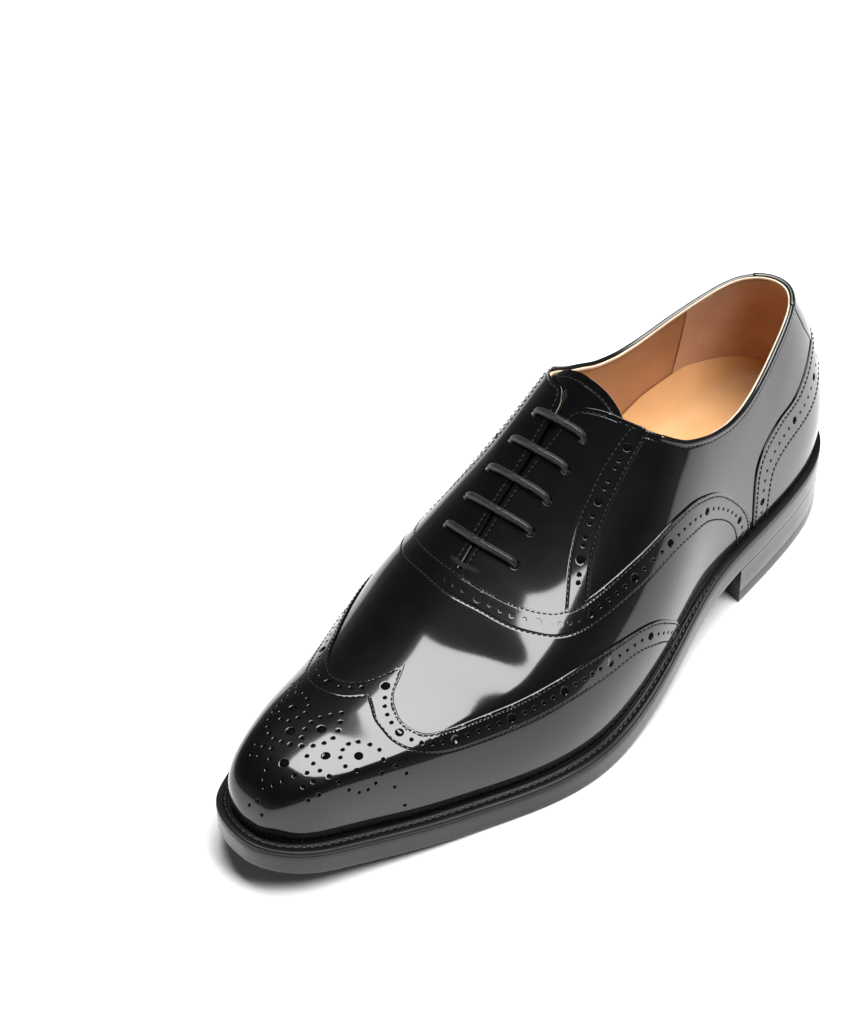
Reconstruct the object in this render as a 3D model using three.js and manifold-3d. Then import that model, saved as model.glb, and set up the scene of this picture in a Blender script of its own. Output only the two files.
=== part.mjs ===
// Wingtip oxford, one left shoe, empty and standing on its sole.
// Millimetres, +Z up, toe towards -Y, heel towards +Y, outer (lateral) side towards +X.
// Inside the source a station is s, the distance forward from the back of the heel.

import * as THREE from 'three';
import { mergeVertices } from 'three/addons/utils/BufferGeometryUtils.js';
import Module from 'manifold-3d';

const wasm = await Module();
wasm.setup();

// ---------------------------------------------------------------- driving sizes
const SOLE_LENGTH = 304;      // outsole, heel to toe
const HEEL_HEIGHT = 18.3;     // underside of the outsole above the floor at the heel
const TOE_SPRING = 11.8;      // underside of the outsole above the floor at the tip
const SPRING_START = 200;     // station where the sole leaves the floor
const ARCH_FRONT = 178;       // station where the arch comes down to the floor
const ARCH_BACK = 75;         // station where the arch reaches heel height
const HEEL_BREAST = 77.6;     // station of the heel's front face
const BREAST_HOLLOW = 3.0;    // how far the heel's front face curves in
const HEEL_TAPER = 0.985;     // width of the heel at the floor over its width at the sole
const SOLE_EDGE = 9.2;        // thickness of the outsole edge
const WELT_EDGE = 2.07;       // thickness of the welt edge
const SOLE_INSET = 0.25;      // underside of the outsole inside the welt's outline
const GAP = 0.3;              // clearance between pieces that touch in the real shoe
const FEATHER_BACK = 2.2;     // station where the upper meets the welt at the heel
const FEATHER_FRONT = 298.2;  // station where the upper meets the welt at the toe
const UPPER_SKIN = -0.5;      // upper's outer face, measured from the reference last surface
const UPPER_WALL = 2.0;       // upper with its lining
const OVERLAY_IN = -0.2;      // inner face of the cap and counter
const OVERLAY_OUT = 0.7;      // outer face of the cap and counter
const TONGUE_OUT = -2.9;      // tongue's outer face
const TONGUE_IN = -4.6;       // tongue's inner face
const INSOLE_TOP = 2.6;       // insole's top above the welt
const LACE_RADIUS = 1.5;
const LACE_LIFT = 1.45;       // lace axis above the reference last surface
const SLIT_BOTTOM = 187;      // station where the facings close
const SHIFT_X = -4.9;         // moves the middle of the shoe's box to the origin
const SHIFT_Y = -1.525;
const CUT_CLEANUP = 0.06;     // edges shorter than this are joined up after a cut

const ROWS = 46;              // stations round the upper, heel to toe
const COLS = 22;              // steps over the upper, lateral to medial feather
const SOLE_ROWS = 52;

// ---------------------------------------------------------------- tables
// Outline of the welt: half-widths from the shoe's centre line.
const RIM = table(['s', 'lateral', 'medial'], [
  [0, 0, 0], [4, 15, 17], [12, 23, 27], [25, 29.4, 32.5], [45, 34.2, 34],
  [70, 37.8, 32.1], [100, 42.3, 29.6], [130, 50.9, 31.1], [160, 57.7, 38],
  [185, 58.9, 45.4], [205, 54.8, 49.1], [225, 47.6, 48.6], [245, 40.2, 44.5],
  [262, 33.3, 38.4], [276, 27.6, 32.2], [288, 22.4, 26.7], [297, 15.5, 20.5],
  [304, 0, 0]]);

// How far the feather line (upper meets welt) lies inside the rim.
const WELT_SHOW = table(['s', 'inset'], [
  [0, 2.2], [40, 2.4], [75, 2.8], [100, 3.2], [130, 4.2], [160, 5.2], [185, 5.8], [304, 5.8]]);

// Feather line: half-widths from the centre line.
const FEATHER = table(['s', 'lateral', 'medial'], [
  [2.2, 0, 0], [6, 14, 16], [13, 20.9, 24.9], [25, 26.9, 30.1], [45, 31.7, 31.5],
  [70, 35, 29.3], [100, 39, 26.4], [130, 46.6, 26.9], [160, 52.5, 32.6],
  [185, 53.1, 39.4], [205, 48.7, 43.3], [225, 41.4, 42.8], [245, 34, 38.4],
  [262, 27, 32.1], [276, 21.4, 25.8], [286, 16.9, 21.2], [293, 11.3, 16.3],
  [298.2, 0, 0]]);

// Ridge of the last: height over the feather and place across. Behind the
// throat it runs on above the collar, where the collar cut removes it.
const RIDGE = table(['s', 'height', 'across'], [
  [2.2, 130.5, -1.4], [30, 128.8, -2.8], [60, 120.6, -5.3], [85, 106, -7.6],
  [105, 94.8, -9.4], [125, 84, -10], [145, 75, -10], [165, 66.2, -9.2],
  [185, 56.4, -6.6], [205, 47.3, -2.8], [225, 39.7, 0.3], [245, 34.6, 1.7],
  [262, 31.6, 1.3], [276, 27.4, 0.3], [287, 21.9, -0.8], [293.5, 16.2, -1.6],
  [298.2, 0, -2.1]]);

// Character of each section: side and top squareness, bulge over the feather
// line, and how much more the lateral side bulges than the medial.
const SECTION = table(['s', 'side', 'top', 'bulge', 'bias'], [
  [2.2, -0.032, -0.112, -0.7, -0.9], [45, -0.012, -0.053, -3.6, -1.1],
  [85, 0.018, 0.008, 2.4, -1.9], [120, 0.027, -0.008, 7.4, -1.6],
  [155, 0.03, -0.007, 6.6, -2.2], [190, 0.026, 0.018, 5.4, -1.3],
  [225, 0.022, 0.064, 0.8, 0.4], [260, 0.038, 0.117, 0.6, 0],
  [285, 0.051, 0.133, 1.0, -0.7], [298.2, 0.029, 0.091, 1.2, -1]]);

// Curve of the heel's back: how far it stands behind the feather at a height.
const HEEL_CURVE = table(['height', 'back'], [
  [0, 0.3], [12, 4.2], [26, 4.3], [42, 1.7], [58, -4], [72, -10.8], [110, -16]]);
const HEEL_CURVE_REACH = 80;  // station where the heel's curve has faded out

// Collar line: height over the floor on each side.
const COLLAR = table(['s', 'lateral', 'medial'], [
  [-30, 101, 101], [12, 100.5, 100.5], [20, 98.2, 99.9], [30, 94.8, 98.2], [45, 89.7, 94.4],
  [56, 87, 91.4], [66, 85.7, 89.2], [76, 86.3, 88.3], [88, 89.2, 90],
  [101, 94.1, 95.5], [110, 100, 101.2], [118, 105.2, 105.4], [126, 109, 109.5], [140, 112, 113]]);

// Wing edge of the cap: station, place across, height over the floor.
const WING = table(['s', 'x', 'z'], [
  [123.1, 45.5, 24], [131, 47.6, 37.6], [138, 48, 42.5], [146, 47.7, 45.3], [160, 47, 46.4],
  [174, 45.9, 46.9], [191.3, 43.4, 46.3], [206, 39.3, 44.9], [220, 34, 43.9],
  [233.5, 28.9, 44], [239, 25.8, 45.1], [241.2, 21.5, 46.6], [241.2, 17.8, 47.5],
  [239.7, 13.9, 48.2], [237.3, 10.4, 48.8], [233.5, 7.2, 49.5], [223.9, 2.7, 51.9],
  [229, 0.5, 50.7], [234.6, -1.9, 49.5], [239, -5.1, 48.7], [241.4, -8.6, 48.2],
  [242.4, -12, 47.9], [241.6, -16, 47.5], [239.4, -19.4, 47], [235.3, -24.2, 45.9],
  [230.7, -27.5, 45.2], [225.7, -30.3, 44.8], [214, -37, 43.6], [200, -41.5, 43.3],
  [180, -41, 43.2], [160, -36.5, 42.6], [145, -33, 40], [136, -31, 34], [130, -29, 24]]);

// Upper edge of the heel counter, as seen from the side.
const COUNTER = table(['s', 'z'], [
  [-20, 77], [8, 76.6], [15.6, 72.6], [23.4, 69], [32, 66.6], [41, 65.4],
  [51, 63.4], [58, 60.8], [62.4, 57.6], [64.4, 52.4], [66, 43.4], [66.8, 33.5], [67, 20]]);

// Lace bars: station and angle over the upper at the medial and lateral eyelet.
const BARS = table(['sMedial', 'medial', 'sLateral', 'lateral'], [
  [131.4, 100.5, 130.2, 77.2], [141.9, 102.3, 140.8, 76.7], [152.9, 103.3, 151.7, 76.2],
  [164.1, 104, 162.7, 75.2], [175.2, 104.3, 174, 73.8]]);

const COLORS = {
  leather: 0x0b0b0c, sole: 0x1b1a1a, welt: 0x131212, lining: 0xb9835a, lace: 0x141414
};

// ---------------------------------------------------------------- maths
function table(names, rows) {
  return rows.map((r) => Object.fromEntries(names.map((n, i) => [n, r[i]])));
}
const column = (rows, name) => rows.map((r) => r[name]);

function linear(rows, key, name, v) {
  if (v <= rows[0][key]) return rows[0][name];
  for (let i = 1; i < rows.length; i++) {
    if (v <= rows[i][key]) {
      const k = (v - rows[i - 1][key]) / (rows[i][key] - rows[i - 1][key]);
      return rows[i - 1][name] * (1 - k) + rows[i][name] * k;
    }
  }
  return rows[rows.length - 1][name];
}

// Cubic spline; each end is either free (no curvature) or flat (no slope).
function spline(xs, ys, startFlat, endFlat) {
  const n = xs.length, a = new Array(n).fill(0), b = new Array(n).fill(0);
  const c = new Array(n).fill(0), d = new Array(n).fill(0);
  b[0] = 1; b[n - 1] = 1;
  if (startFlat) {
    const h = xs[1] - xs[0];
    b[0] = h / 3; c[0] = h / 6; d[0] = (ys[1] - ys[0]) / h;
  }
  if (endFlat) {
    const h = xs[n - 1] - xs[n - 2];
    b[n - 1] = h / 3; a[n - 1] = h / 6; d[n - 1] = -(ys[n - 1] - ys[n - 2]) / h;
  }
  for (let i = 1; i < n - 1; i++) {
    const h0 = xs[i] - xs[i - 1], h1 = xs[i + 1] - xs[i];
    a[i] = h0 / 6; b[i] = (h0 + h1) / 3; c[i] = h1 / 6;
    d[i] = (ys[i + 1] - ys[i]) / h1 - (ys[i] - ys[i - 1]) / h0;
  }
  for (let i = 1; i < n; i++) {
    const w = a[i] / b[i - 1];
    b[i] -= w * c[i - 1]; d[i] -= w * d[i - 1];
  }
  const m = new Array(n).fill(0);
  m[n - 1] = d[n - 1] / b[n - 1];
  for (let i = n - 2; i >= 0; i--) m[i] = (d[i] - c[i] * m[i + 1]) / b[i];
  return (x) => {
    let i = 1;
    while (i < n - 1 && x > xs[i]) i++;
    const h = xs[i] - xs[i - 1], p = (xs[i] - x) / h, q = 1 - p;
    return p * ys[i - 1] + q * ys[i] + ((p ** 3 - p) * m[i - 1] + (q ** 3 - q) * m[i]) * h * h / 6;
  };
}

// Stations become an angle round the shoe, so that ends come out round.
const clamp = (v, lo, hi) => Math.min(hi, Math.max(lo, v));
const angleOf = (s, from, to) => Math.acos(clamp(1 - 2 * (s - from) / (to - from), -1, 1));
const stationOf = (t, from, to) => from + (to - from) * (1 - Math.cos(t)) / 2;
const soleAngle = (s) => angleOf(s, 0, SOLE_LENGTH);
const upperAngle = (s) => angleOf(s, FEATHER_BACK, FEATHER_FRONT);
const along = (rows, name, angle, f0, f1) =>
  spline(column(rows, 's').map(angle), column(rows, name), f0, f1);

const rimLateral = along(RIM, 'lateral', soleAngle, false, false);
const rimMedial = along(RIM, 'medial', soleAngle, false, false);
const featherLateral = along(FEATHER, 'lateral', upperAngle, false, false);
const featherMedial = along(FEATHER, 'medial', upperAngle, false, false);
const ridgeHeight = along(RIDGE, 'height', upperAngle, true, false);
const ridgeAcross = along(RIDGE, 'across', upperAngle, true, true);
const sideSquare = along(SECTION, 'side', upperAngle, true, true);
const topSquare = along(SECTION, 'top', upperAngle, true, true);
const bulge = along(SECTION, 'bulge', upperAngle, true, true);
const bias = along(SECTION, 'bias', upperAngle, true, true);
const heelBack = spline(column(HEEL_CURVE, 'height'), column(HEEL_CURVE, 'back'), false, false);

// Height of the outsole's underside: heel, arch, tread and toe spring.
function treadHeight(s) {
  const k = clamp((s - SPRING_START) / (SOLE_LENGTH - SPRING_START), 0, 1);
  const a = clamp((ARCH_FRONT - s) / (ARCH_FRONT - ARCH_BACK), 0, 1);
  return TOE_SPRING * k * k + HEEL_HEIGHT * a * a * (3 - 2 * a);
}
const weltTop = (s) => treadHeight(s) + SOLE_EDGE + WELT_EDGE;

const place = (x, s, z) => [x + SHIFT_X, SOLE_LENGTH / 2 - s + SHIFT_Y, z];

// The last's surface: t runs heel to toe, phi from the lateral feather over the
// ridge to the medial feather, grow moves it outwards.
function last(t, phi, grow) {
  const s = stationOf(t, FEATHER_BACK - grow, FEATHER_FRONT + grow);
  const g = grow * Math.sin(t);
  const lateral = featherLateral(t) + g, medial = featherMedial(t) + g;
  const half = (lateral + medial) / 2, mid = (lateral - medial) / 2;
  const a = sideSquare(t), b = topSquare(t), c = Math.cos(phi), q = Math.sin(phi);
  const x = mid * c * c + ridgeAcross(t) * q * q
    + half * (c - a * Math.cos(3 * phi)) / (1 - a)
    + (bulge(t) + bias(t) * c) * Math.sin(2 * phi) * Math.min(1, half / 12);
  const h = (ridgeHeight(t) + g) * (q + b * Math.sin(3 * phi)) / (1 - b);
  const f = clamp(s / HEEL_CURVE_REACH, 0, 1);
  return { x, s: s - heelBack(h) * (1 - f) ** 2 * (1 + 2 * f), z: weltTop(s) + h };
}

// ---------------------------------------------------------------- mesh helpers
function body(points, faces) {
  const g = new THREE.BufferGeometry();
  g.setAttribute('position', new THREE.Float32BufferAttribute(points.flat(), 3));
  g.setIndex(faces.flat());
  return weld(g);
}

function weld(geometry) {
  const g = geometry.clone();
  for (const name of Object.keys(g.attributes)) if (name !== 'position') g.deleteAttribute(name);
  const m = mergeVertices(g, 2e-3), idx = m.index.array, keep = [];
  for (let i = 0; i < idx.length; i += 3) {
    const [a, b, c] = [idx[i], idx[i + 1], idx[i + 2]];
    if (a !== b && b !== c && c !== a) keep.push(a, b, c);
  }
  m.setIndex(keep);
  return m;
}

function solid(geometry) {
  const m = weld(geometry);
  const make = (ids) => new wasm.Manifold(new wasm.Mesh({
    numProp: 3, vertProperties: new Float32Array(m.attributes.position.array),
    triVerts: new Uint32Array(ids)
  }));
  const ids = Array.from(m.index.array);
  const first = make(ids);
  if (first.volume() > 0) return first;
  const flipped = [];
  for (let i = 0; i < ids.length; i += 3) flipped.push(ids[i], ids[i + 2], ids[i + 1]);
  return make(flipped);
}

function geometryOf(manifold) {
  const m = manifold.getMesh(), n = m.numProp, pos = [];
  for (let i = 0; i < m.vertProperties.length; i += n) {
    pos.push(m.vertProperties[i], m.vertProperties[i + 1], m.vertProperties[i + 2]);
  }
  const g = new THREE.BufferGeometry();
  g.setAttribute('position', new THREE.Float32BufferAttribute(pos, 3));
  g.setIndex(Array.from(m.triVerts));
  g.computeVertexNormals();
  return g;
}

// Keeps only the largest of the bodies that a cut leaves, without its slivers.
function largest(manifold) {
  const list = manifold.decompose();
  return list.reduce((a, b) => (b.volume() > a.volume() ? b : a)).simplify(CUT_CLEANUP);
}

// A closed form of the last, with straight sides down from its feather line.
function form(grow, skirt) {
  const pts = [], faces = [], w = COLS + 3;
  for (let i = 0; i <= ROWS; i++) {
    const t = Math.PI * i / ROWS;
    for (let j = -1; j <= COLS + 1; j++) {
      const k = clamp(j, 0, COLS);
      const col = i === 0 ? Math.min(k, COLS - k) : i === ROWS ? 0 : k;
      const p = last(t, Math.PI * col / COLS, grow);
      const z = j < 0 || j > COLS ? p.z - skirt : p.z;
      pts.push(place(p.x, p.s, z));
    }
  }
  for (let i = 0; i < ROWS; i++) {
    for (let j = 0; j < w; j++) {
      const k = (j + 1) % w, a = i * w + j, b = i * w + k, c = a + w, d = b + w;
      faces.push([a, b, d], [a, d, c]);
    }
  }
  return solid(body(pts, faces));
}

// A prism: a flat outline in two axes, drawn out along the third.
function prism(outline, axis, from, to) {
  const shape = new THREE.Shape(outline.map(([u, v]) => new THREE.Vector2(u, v)));
  const g = new THREE.ExtrudeGeometry(shape, { depth: to - from, bevelEnabled: false, steps: 1 });
  g.translate(0, 0, from);
  const p = g.attributes.position;
  for (let i = 0; i < p.count; i++) {
    const u = p.getX(i), v = p.getY(i), w = p.getZ(i);
    // axis z: outline is (x, s). axis x: outline is (s, z).
    const q = axis === 'z' ? place(u, v, w) : place(w, u, v);
    p.setXYZ(i, q[0], q[1], q[2]);
  }
  return solid(g);
}

// Point on the welt's outline, moved in by an inset along its normal.
function rimPoint(t, side, inset) {
  const f = side > 0 ? rimLateral : rimMedial, e = 1e-4;
  const t0 = clamp(t - e, 0, Math.PI), t1 = clamp(t + e, 0, Math.PI);
  let dx = f(t1) - f(t0), ds = stationOf(t1, 0, SOLE_LENGTH) - stationOf(t0, 0, SOLE_LENGTH);
  if (t < 1e-6) { dx = 1; ds = 0; }
  if (t > Math.PI - 1e-6) { dx = -1; ds = 0; }
  const n = Math.hypot(dx, ds);
  return { x: side * (f(t) - inset * ds / n), s: stationOf(t, 0, SOLE_LENGTH) + inset * dx / n };
}

// A loop of points round the shoe: lateral side heel to toe, medial side back.
function loop(inset, height) {
  const pts = [];
  const add = (t, side) => {
    const s = stationOf(t, 0, SOLE_LENGTH), p = rimPoint(t, side, inset(s));
    pts.push(place(p.x, p.s, height(p.s)));
  };
  for (let i = 0; i <= SOLE_ROWS; i++) add(Math.PI * i / SOLE_ROWS, 1);
  for (let i = SOLE_ROWS - 1; i > 0; i--) add(Math.PI * i / SOLE_ROWS, -1);
  return pts;
}

function wall(a, b, n, faces) {
  for (let i = 0; i < n; i++) {
    const k = (i + 1) % n;
    faces.push([a + i, a + k, b + k], [a + i, b + k, b + i]);
  }
}

// A plate between two loops, closed by strips across the shoe.
function plate(bottom, top) {
  const n = bottom.length, faces = [];
  wall(0, n, n, faces);
  for (const [base, flip] of [[0, true], [n, false]]) {
    for (let i = 0; i < n / 2; i++) {
      const a = i, b = i + 1, c = n - i - 1, d = (n - i) % n;
      for (const f of [[a, b, c], [a, c, d]]) {
        const g = f.map((v) => base + v);
        faces.push(flip ? [g[0], g[2], g[1]] : g);
      }
    }
  }
  return solid(body([...bottom, ...top], faces));
}

// A ring of four loops.
function ring(outerBottom, outerTop, innerTop, innerBottom) {
  const n = outerBottom.length, faces = [];
  for (let k = 0; k < 4; k++) wall(k * n, ((k + 1) % 4) * n, n, faces);
  return solid(body([...outerBottom, ...outerTop, ...innerTop, ...innerBottom], faces));
}

// ---------------------------------------------------------------- sole
const weltShow = (s) => linear(WELT_SHOW, 's', 'inset', s);

const outsole = plate(
  loop(() => SOLE_INSET, treadHeight),
  loop(() => 0.1, (s) => treadHeight(s) + SOLE_EDGE - GAP));

const weltInner = (s) => weltShow(s) + 3.0;
const welt = ring(
  loop(() => 0, (s) => treadHeight(s) + SOLE_EDGE),
  loop(() => 0, (s) => weltTop(s) - GAP),
  loop(weltInner, (s) => weltTop(s) - GAP),
  loop(weltInner, (s) => treadHeight(s) + SOLE_EDGE));

const insoleEdge = (s) => weltShow(s) + 3.6;
const insole = plate(
  loop(insoleEdge, (s) => treadHeight(s) + SOLE_EDGE),
  loop(insoleEdge, (s) => weltTop(s) + INSOLE_TOP));

function heelBlock() {
  const side = (k) => {
    const pts = [], end = soleAngle(HEEL_BREAST);
    for (let i = 0; i <= 18; i++) {
      const p = rimPoint(end * i / 18, k, SOLE_INSET);
      pts.push([p.x, p.s]);
    }
    return pts;
  };
  const lateral = side(1), medial = side(-1);
  const l = lateral[18], m = medial[18], breast = [];
  for (let i = 1; i < 8; i++) {
    const k = i / 8;
    breast.push([l[0] * (1 - k) + m[0] * k, HEEL_BREAST - BREAST_HOLLOW * 4 * k * (1 - k)]);
  }
  const outline = [...lateral, ...breast, ...medial.slice(1).reverse()];
  const shape = new THREE.Shape(outline.map(([x, s]) => new THREE.Vector2(x, s)));
  const g = new THREE.ExtrudeGeometry(shape, { depth: HEEL_HEIGHT - GAP, bevelEnabled: false, steps: 1 });
  const p = g.attributes.position;
  for (let i = 0; i < p.count; i++) {
    const k = p.getZ(i) < 1 ? HEEL_TAPER : 1;
    const q = place(p.getX(i) * k, (p.getY(i) - 40) * k + 40, p.getZ(i));
    p.setXYZ(i, q[0], q[1], q[2]);
  }
  return solid(g);
}

// ---------------------------------------------------------------- upper
// Everything over the collar line.
function collarCut() {
  const pts = [], faces = [], across = [-90, -22, 22, 90], top = 200;
  for (const row of COLLAR) {
    for (const x of across) pts.push(place(x, row.s, x > 0 ? row.lateral : row.medial));
    for (const x of [...across].reverse()) pts.push(place(x, row.s, top));
  }
  const n = 8, rows = COLLAR.length;
  for (let i = 0; i < rows - 1; i++) wall(i * n, (i + 1) * n, n, faces);
  for (const [base, flip] of [[0, true], [(rows - 1) * n, false]]) {
    for (let j = 0; j < 3; j++) {
      for (const f of [[j, j + 1, 6 - j], [j, 6 - j, 7 - j]]) {
        const g = f.map((v) => base + v);
        faces.push(flip ? [g[0], g[2], g[1]] : g);
      }
    }
  }
  return solid(body(pts, faces));
}

// The opening between the facings: narrow below, spreading to the collar.
function slitCut() {
  const left = [], right = [];
  for (const [s, half] of [[112, 4.6], [124, 3.2], [136, 1.7], [150, 0.8], [170, 0.6], [SLIT_BOTTOM, 0.5]]) {
    const x = last(upperAngle(s), Math.PI / 2, 0).x;
    left.push([x + half, s]);
    right.push([x - half, s]);
  }
  return prism([...left, ...right.reverse()], 'z', 50, 160);
}

const skin = form(UPPER_SKIN, 0);
const upper = largest(skin
  .subtract(form(UPPER_SKIN - UPPER_WALL, 12))
  .subtract(collarCut())
  .subtract(slitCut()));

// ---------------------------------------------------------------- overlays
const overlay = form(OVERLAY_OUT, 0).subtract(form(OVERLAY_IN, 14));

function wingCut() {
  const lateral = WING.slice(0, 10), crown = WING.slice(9, 25), medial = WING.slice(24);
  const plan = prism([
    [crown[0].x, 40], ...crown.map((r) => [r.x, r.s]), [crown[crown.length - 1].x, 40]], 'z', -10, 170);
  const sideOf = (rows) => [
    [rows[0].s, 170], ...rows.map((r) => [r.s, r.z]), [rows[rows.length - 1].s, 170]];
  const outer = prism(sideOf(lateral), 'x', lateral[9].x - 0.01, 110);
  const inner = prism(sideOf([...medial].reverse()), 'x', -110, medial[0].x + 0.01);
  const back = (end, from, to) => prism([[-40, -10], [end, -10], [end, 170], [-40, 170]], 'x', from, to);
  return plan.add(outer).add(inner)
    .add(back(lateral[0].s + 0.01, 0, 110)).add(back(medial[medial.length - 1].s + 0.01, -110, 0.01));
}
const wingCap = largest(overlay.subtract(wingCut()));

const counterShape = prism(
  [[-20, -10], ...COUNTER.map((r) => [r.s, r.z]), [67, -10]], 'x', -110, 110);
const heelCounter = largest(overlay.intersect(counterShape));

// ---------------------------------------------------------------- tongue
function tongueBody() {
  const pts = [], faces = [], nu = 15, nv = 12;
  for (const grow of [TONGUE_OUT, TONGUE_IN]) {
    for (let i = 0; i <= nu; i++) {
      const u = i / nu, s = 113.5 + (190 - 113.5) * u;
      const half = 27 - 7 * u;
      for (let j = 0; j <= nv; j++) {
        const v = 2 * j / nv - 1, corner = 5 * (1 - u) ** 8 * v ** 4;
        const p = last(upperAngle(s + corner), (90 + v * half) * Math.PI / 180, grow);
        pts.push(place(p.x, p.s, p.z));
      }
    }
  }
  const w = nv + 1, m = (nu + 1) * w, id = (k, i, j) => k * m + i * w + j;
  for (let i = 0; i < nu; i++) {
    for (let j = 0; j < nv; j++) {
      faces.push([id(0, i, j), id(0, i + 1, j), id(0, i + 1, j + 1)], [id(0, i, j), id(0, i + 1, j + 1), id(0, i, j + 1)]);
      faces.push([id(1, i, j), id(1, i + 1, j + 1), id(1, i + 1, j)], [id(1, i, j), id(1, i, j + 1), id(1, i + 1, j + 1)]);
    }
  }
  const edge = [];
  for (let i = 0; i < nu; i++) edge.push([i, 0]);
  for (let j = 0; j < nv; j++) edge.push([nu, j]);
  for (let i = nu; i > 0; i--) edge.push([i, nv]);
  for (let j = nv; j > 0; j--) edge.push([0, j]);
  edge.forEach(([i, j], k) => {
    const [a, b] = edge[(k + 1) % edge.length];
    faces.push([id(0, i, j), id(1, i, j), id(1, a, b)], [id(0, i, j), id(1, a, b), id(0, a, b)]);
  });
  return solid(body(pts, faces));
}

// ---------------------------------------------------------------- lace bars
function laceBar(row) {
  const pts = [], n = 10;
  for (let i = 0; i <= n; i++) {
    const k = i / n, s = row.sMedial * (1 - k) + row.sLateral * k;
    const p = last(upperAngle(s), (row.medial * (1 - k) + row.lateral * k) * Math.PI / 180, LACE_LIFT + 0.25 * Math.sin(Math.PI * k));
    pts.push(new THREE.Vector3(...place(p.x, p.s, p.z)));
  }
  const ring8 = [];
  for (let i = 0; i < 8; i++) ring8.push(new THREE.Vector2(LACE_RADIUS * Math.cos(i * Math.PI / 4), LACE_RADIUS * Math.sin(i * Math.PI / 4)));
  return solid(new THREE.ExtrudeGeometry(new THREE.Shape(ring8), {
    steps: 12, bevelEnabled: false, extrudePath: new THREE.CatmullRomCurve3(pts)
  }));
}

// ---------------------------------------------------------------- assembly
const shoe = new THREE.Group();
function add(name, manifold, color, roughness) {
  const mesh = new THREE.Mesh(geometryOf(manifold),
    new THREE.MeshStandardMaterial({ color, roughness, metalness: 0 }));
  mesh.name = name;
  shoe.add(mesh);
}

add('outsole', outsole, COLORS.sole, 0.4);
add('welt', welt, COLORS.welt, 0.45);
add('heel', heelBlock(), COLORS.sole, 0.4);
add('insole', insole, COLORS.lining, 0.7);
add('upper', upper, COLORS.leather, 0.2);
add('wing_cap', wingCap, COLORS.leather, 0.2);
add('heel_counter', heelCounter, COLORS.leather, 0.2);
add('tongue', tongueBody(), COLORS.leather, 0.35);
BARS.forEach((row, i) => add(`lace_bar_${i + 1}`, laceBar(row), COLORS.lace, 0.6));

export default shoe;
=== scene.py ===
# Wingtip oxford, one left shoe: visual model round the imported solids.
# Surface sizes are millimetres inside the maths and metres in the meshes.
# A place on the upper is (station, degrees): the station runs forward from the
# heel, the degrees go over the shoe from the outer feather line (0) by the
# ridge (90) to the inner feather line (180).
import math
import bpy
import numpy as np
from mathutils import Matrix, Vector
from mathutils.geometry import delaunay_2d_cdt
from mathutils.kdtree import KDTree


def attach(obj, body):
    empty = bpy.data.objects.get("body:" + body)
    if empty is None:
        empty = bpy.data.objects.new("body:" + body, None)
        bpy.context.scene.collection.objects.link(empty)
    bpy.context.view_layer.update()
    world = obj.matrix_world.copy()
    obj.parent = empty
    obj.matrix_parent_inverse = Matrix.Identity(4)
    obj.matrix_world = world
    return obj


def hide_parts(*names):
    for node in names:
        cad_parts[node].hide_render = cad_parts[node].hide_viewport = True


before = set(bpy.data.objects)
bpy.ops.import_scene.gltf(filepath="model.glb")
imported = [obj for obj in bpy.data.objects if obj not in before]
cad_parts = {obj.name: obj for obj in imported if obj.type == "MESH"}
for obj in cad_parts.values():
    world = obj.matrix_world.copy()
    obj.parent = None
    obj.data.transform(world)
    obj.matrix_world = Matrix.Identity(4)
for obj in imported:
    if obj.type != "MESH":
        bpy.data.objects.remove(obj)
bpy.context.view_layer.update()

PI = math.pi
SCENE = bpy.context.scene

# ------------------------------------------------------------------ camera
CAMERA_AT = (0.55928, -0.62443, 0.87064)
CAMERA_RIGHT = (0.718146, 0.695735, -0.014785)
CAMERA_UP = (-0.470558, 0.501148, 0.726241)
CAMERA_AHEAD = (-0.512681, 0.514590, -0.687281)


def make_camera():
    data = bpy.data.cameras.new("camera")
    data.sensor_fit = "VERTICAL"
    data.sensor_height = 36.0
    data.sensor_width = 36.0
    data.lens = 111.88
    data.clip_start = 0.05
    cam = bpy.data.objects.new("camera", data)
    SCENE.collection.objects.link(cam)
    cols = [CAMERA_RIGHT, CAMERA_UP, tuple(-v for v in CAMERA_AHEAD)]
    m = Matrix.Identity(4)
    for c, col in enumerate(cols):
        for r in range(3):
            m[r][c] = col[r]
    for r in range(3):
        m[r][3] = CAMERA_AT[r]
    cam.matrix_world = m
    SCENE.camera = cam


make_camera()

# ------------------------------------------------------------------ sizes, mm
SOLE_LENGTH, HEEL_HEIGHT, TOE_SPRING = 304.0, 18.3, 11.8
SPRING_START, ARCH_FRONT, ARCH_BACK = 200.0, 178.0, 75.0
HEEL_BREAST, BREAST_HOLLOW, HEEL_TAPER = 77.6, 3.0, 0.985
SOLE_EDGE, WELT_EDGE = 9.2, 2.07
S0, S1 = 2.2, 298.2
SHIFT_X, SHIFT_Y = -4.9, 150.475

QUARTER_D, FACING_D, VAMP_D, CAP_D, COUNTER_D = -0.8, -0.12, -0.1, 0.55, -0.1
SKIN = 0.62            # an overlay's thickness
LINING_D, LINING_IN = -1.75, -2.5
TONGUE_D, TONGUE_IN = -2.95, -4.3
LACE_R = 1.48

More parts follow.
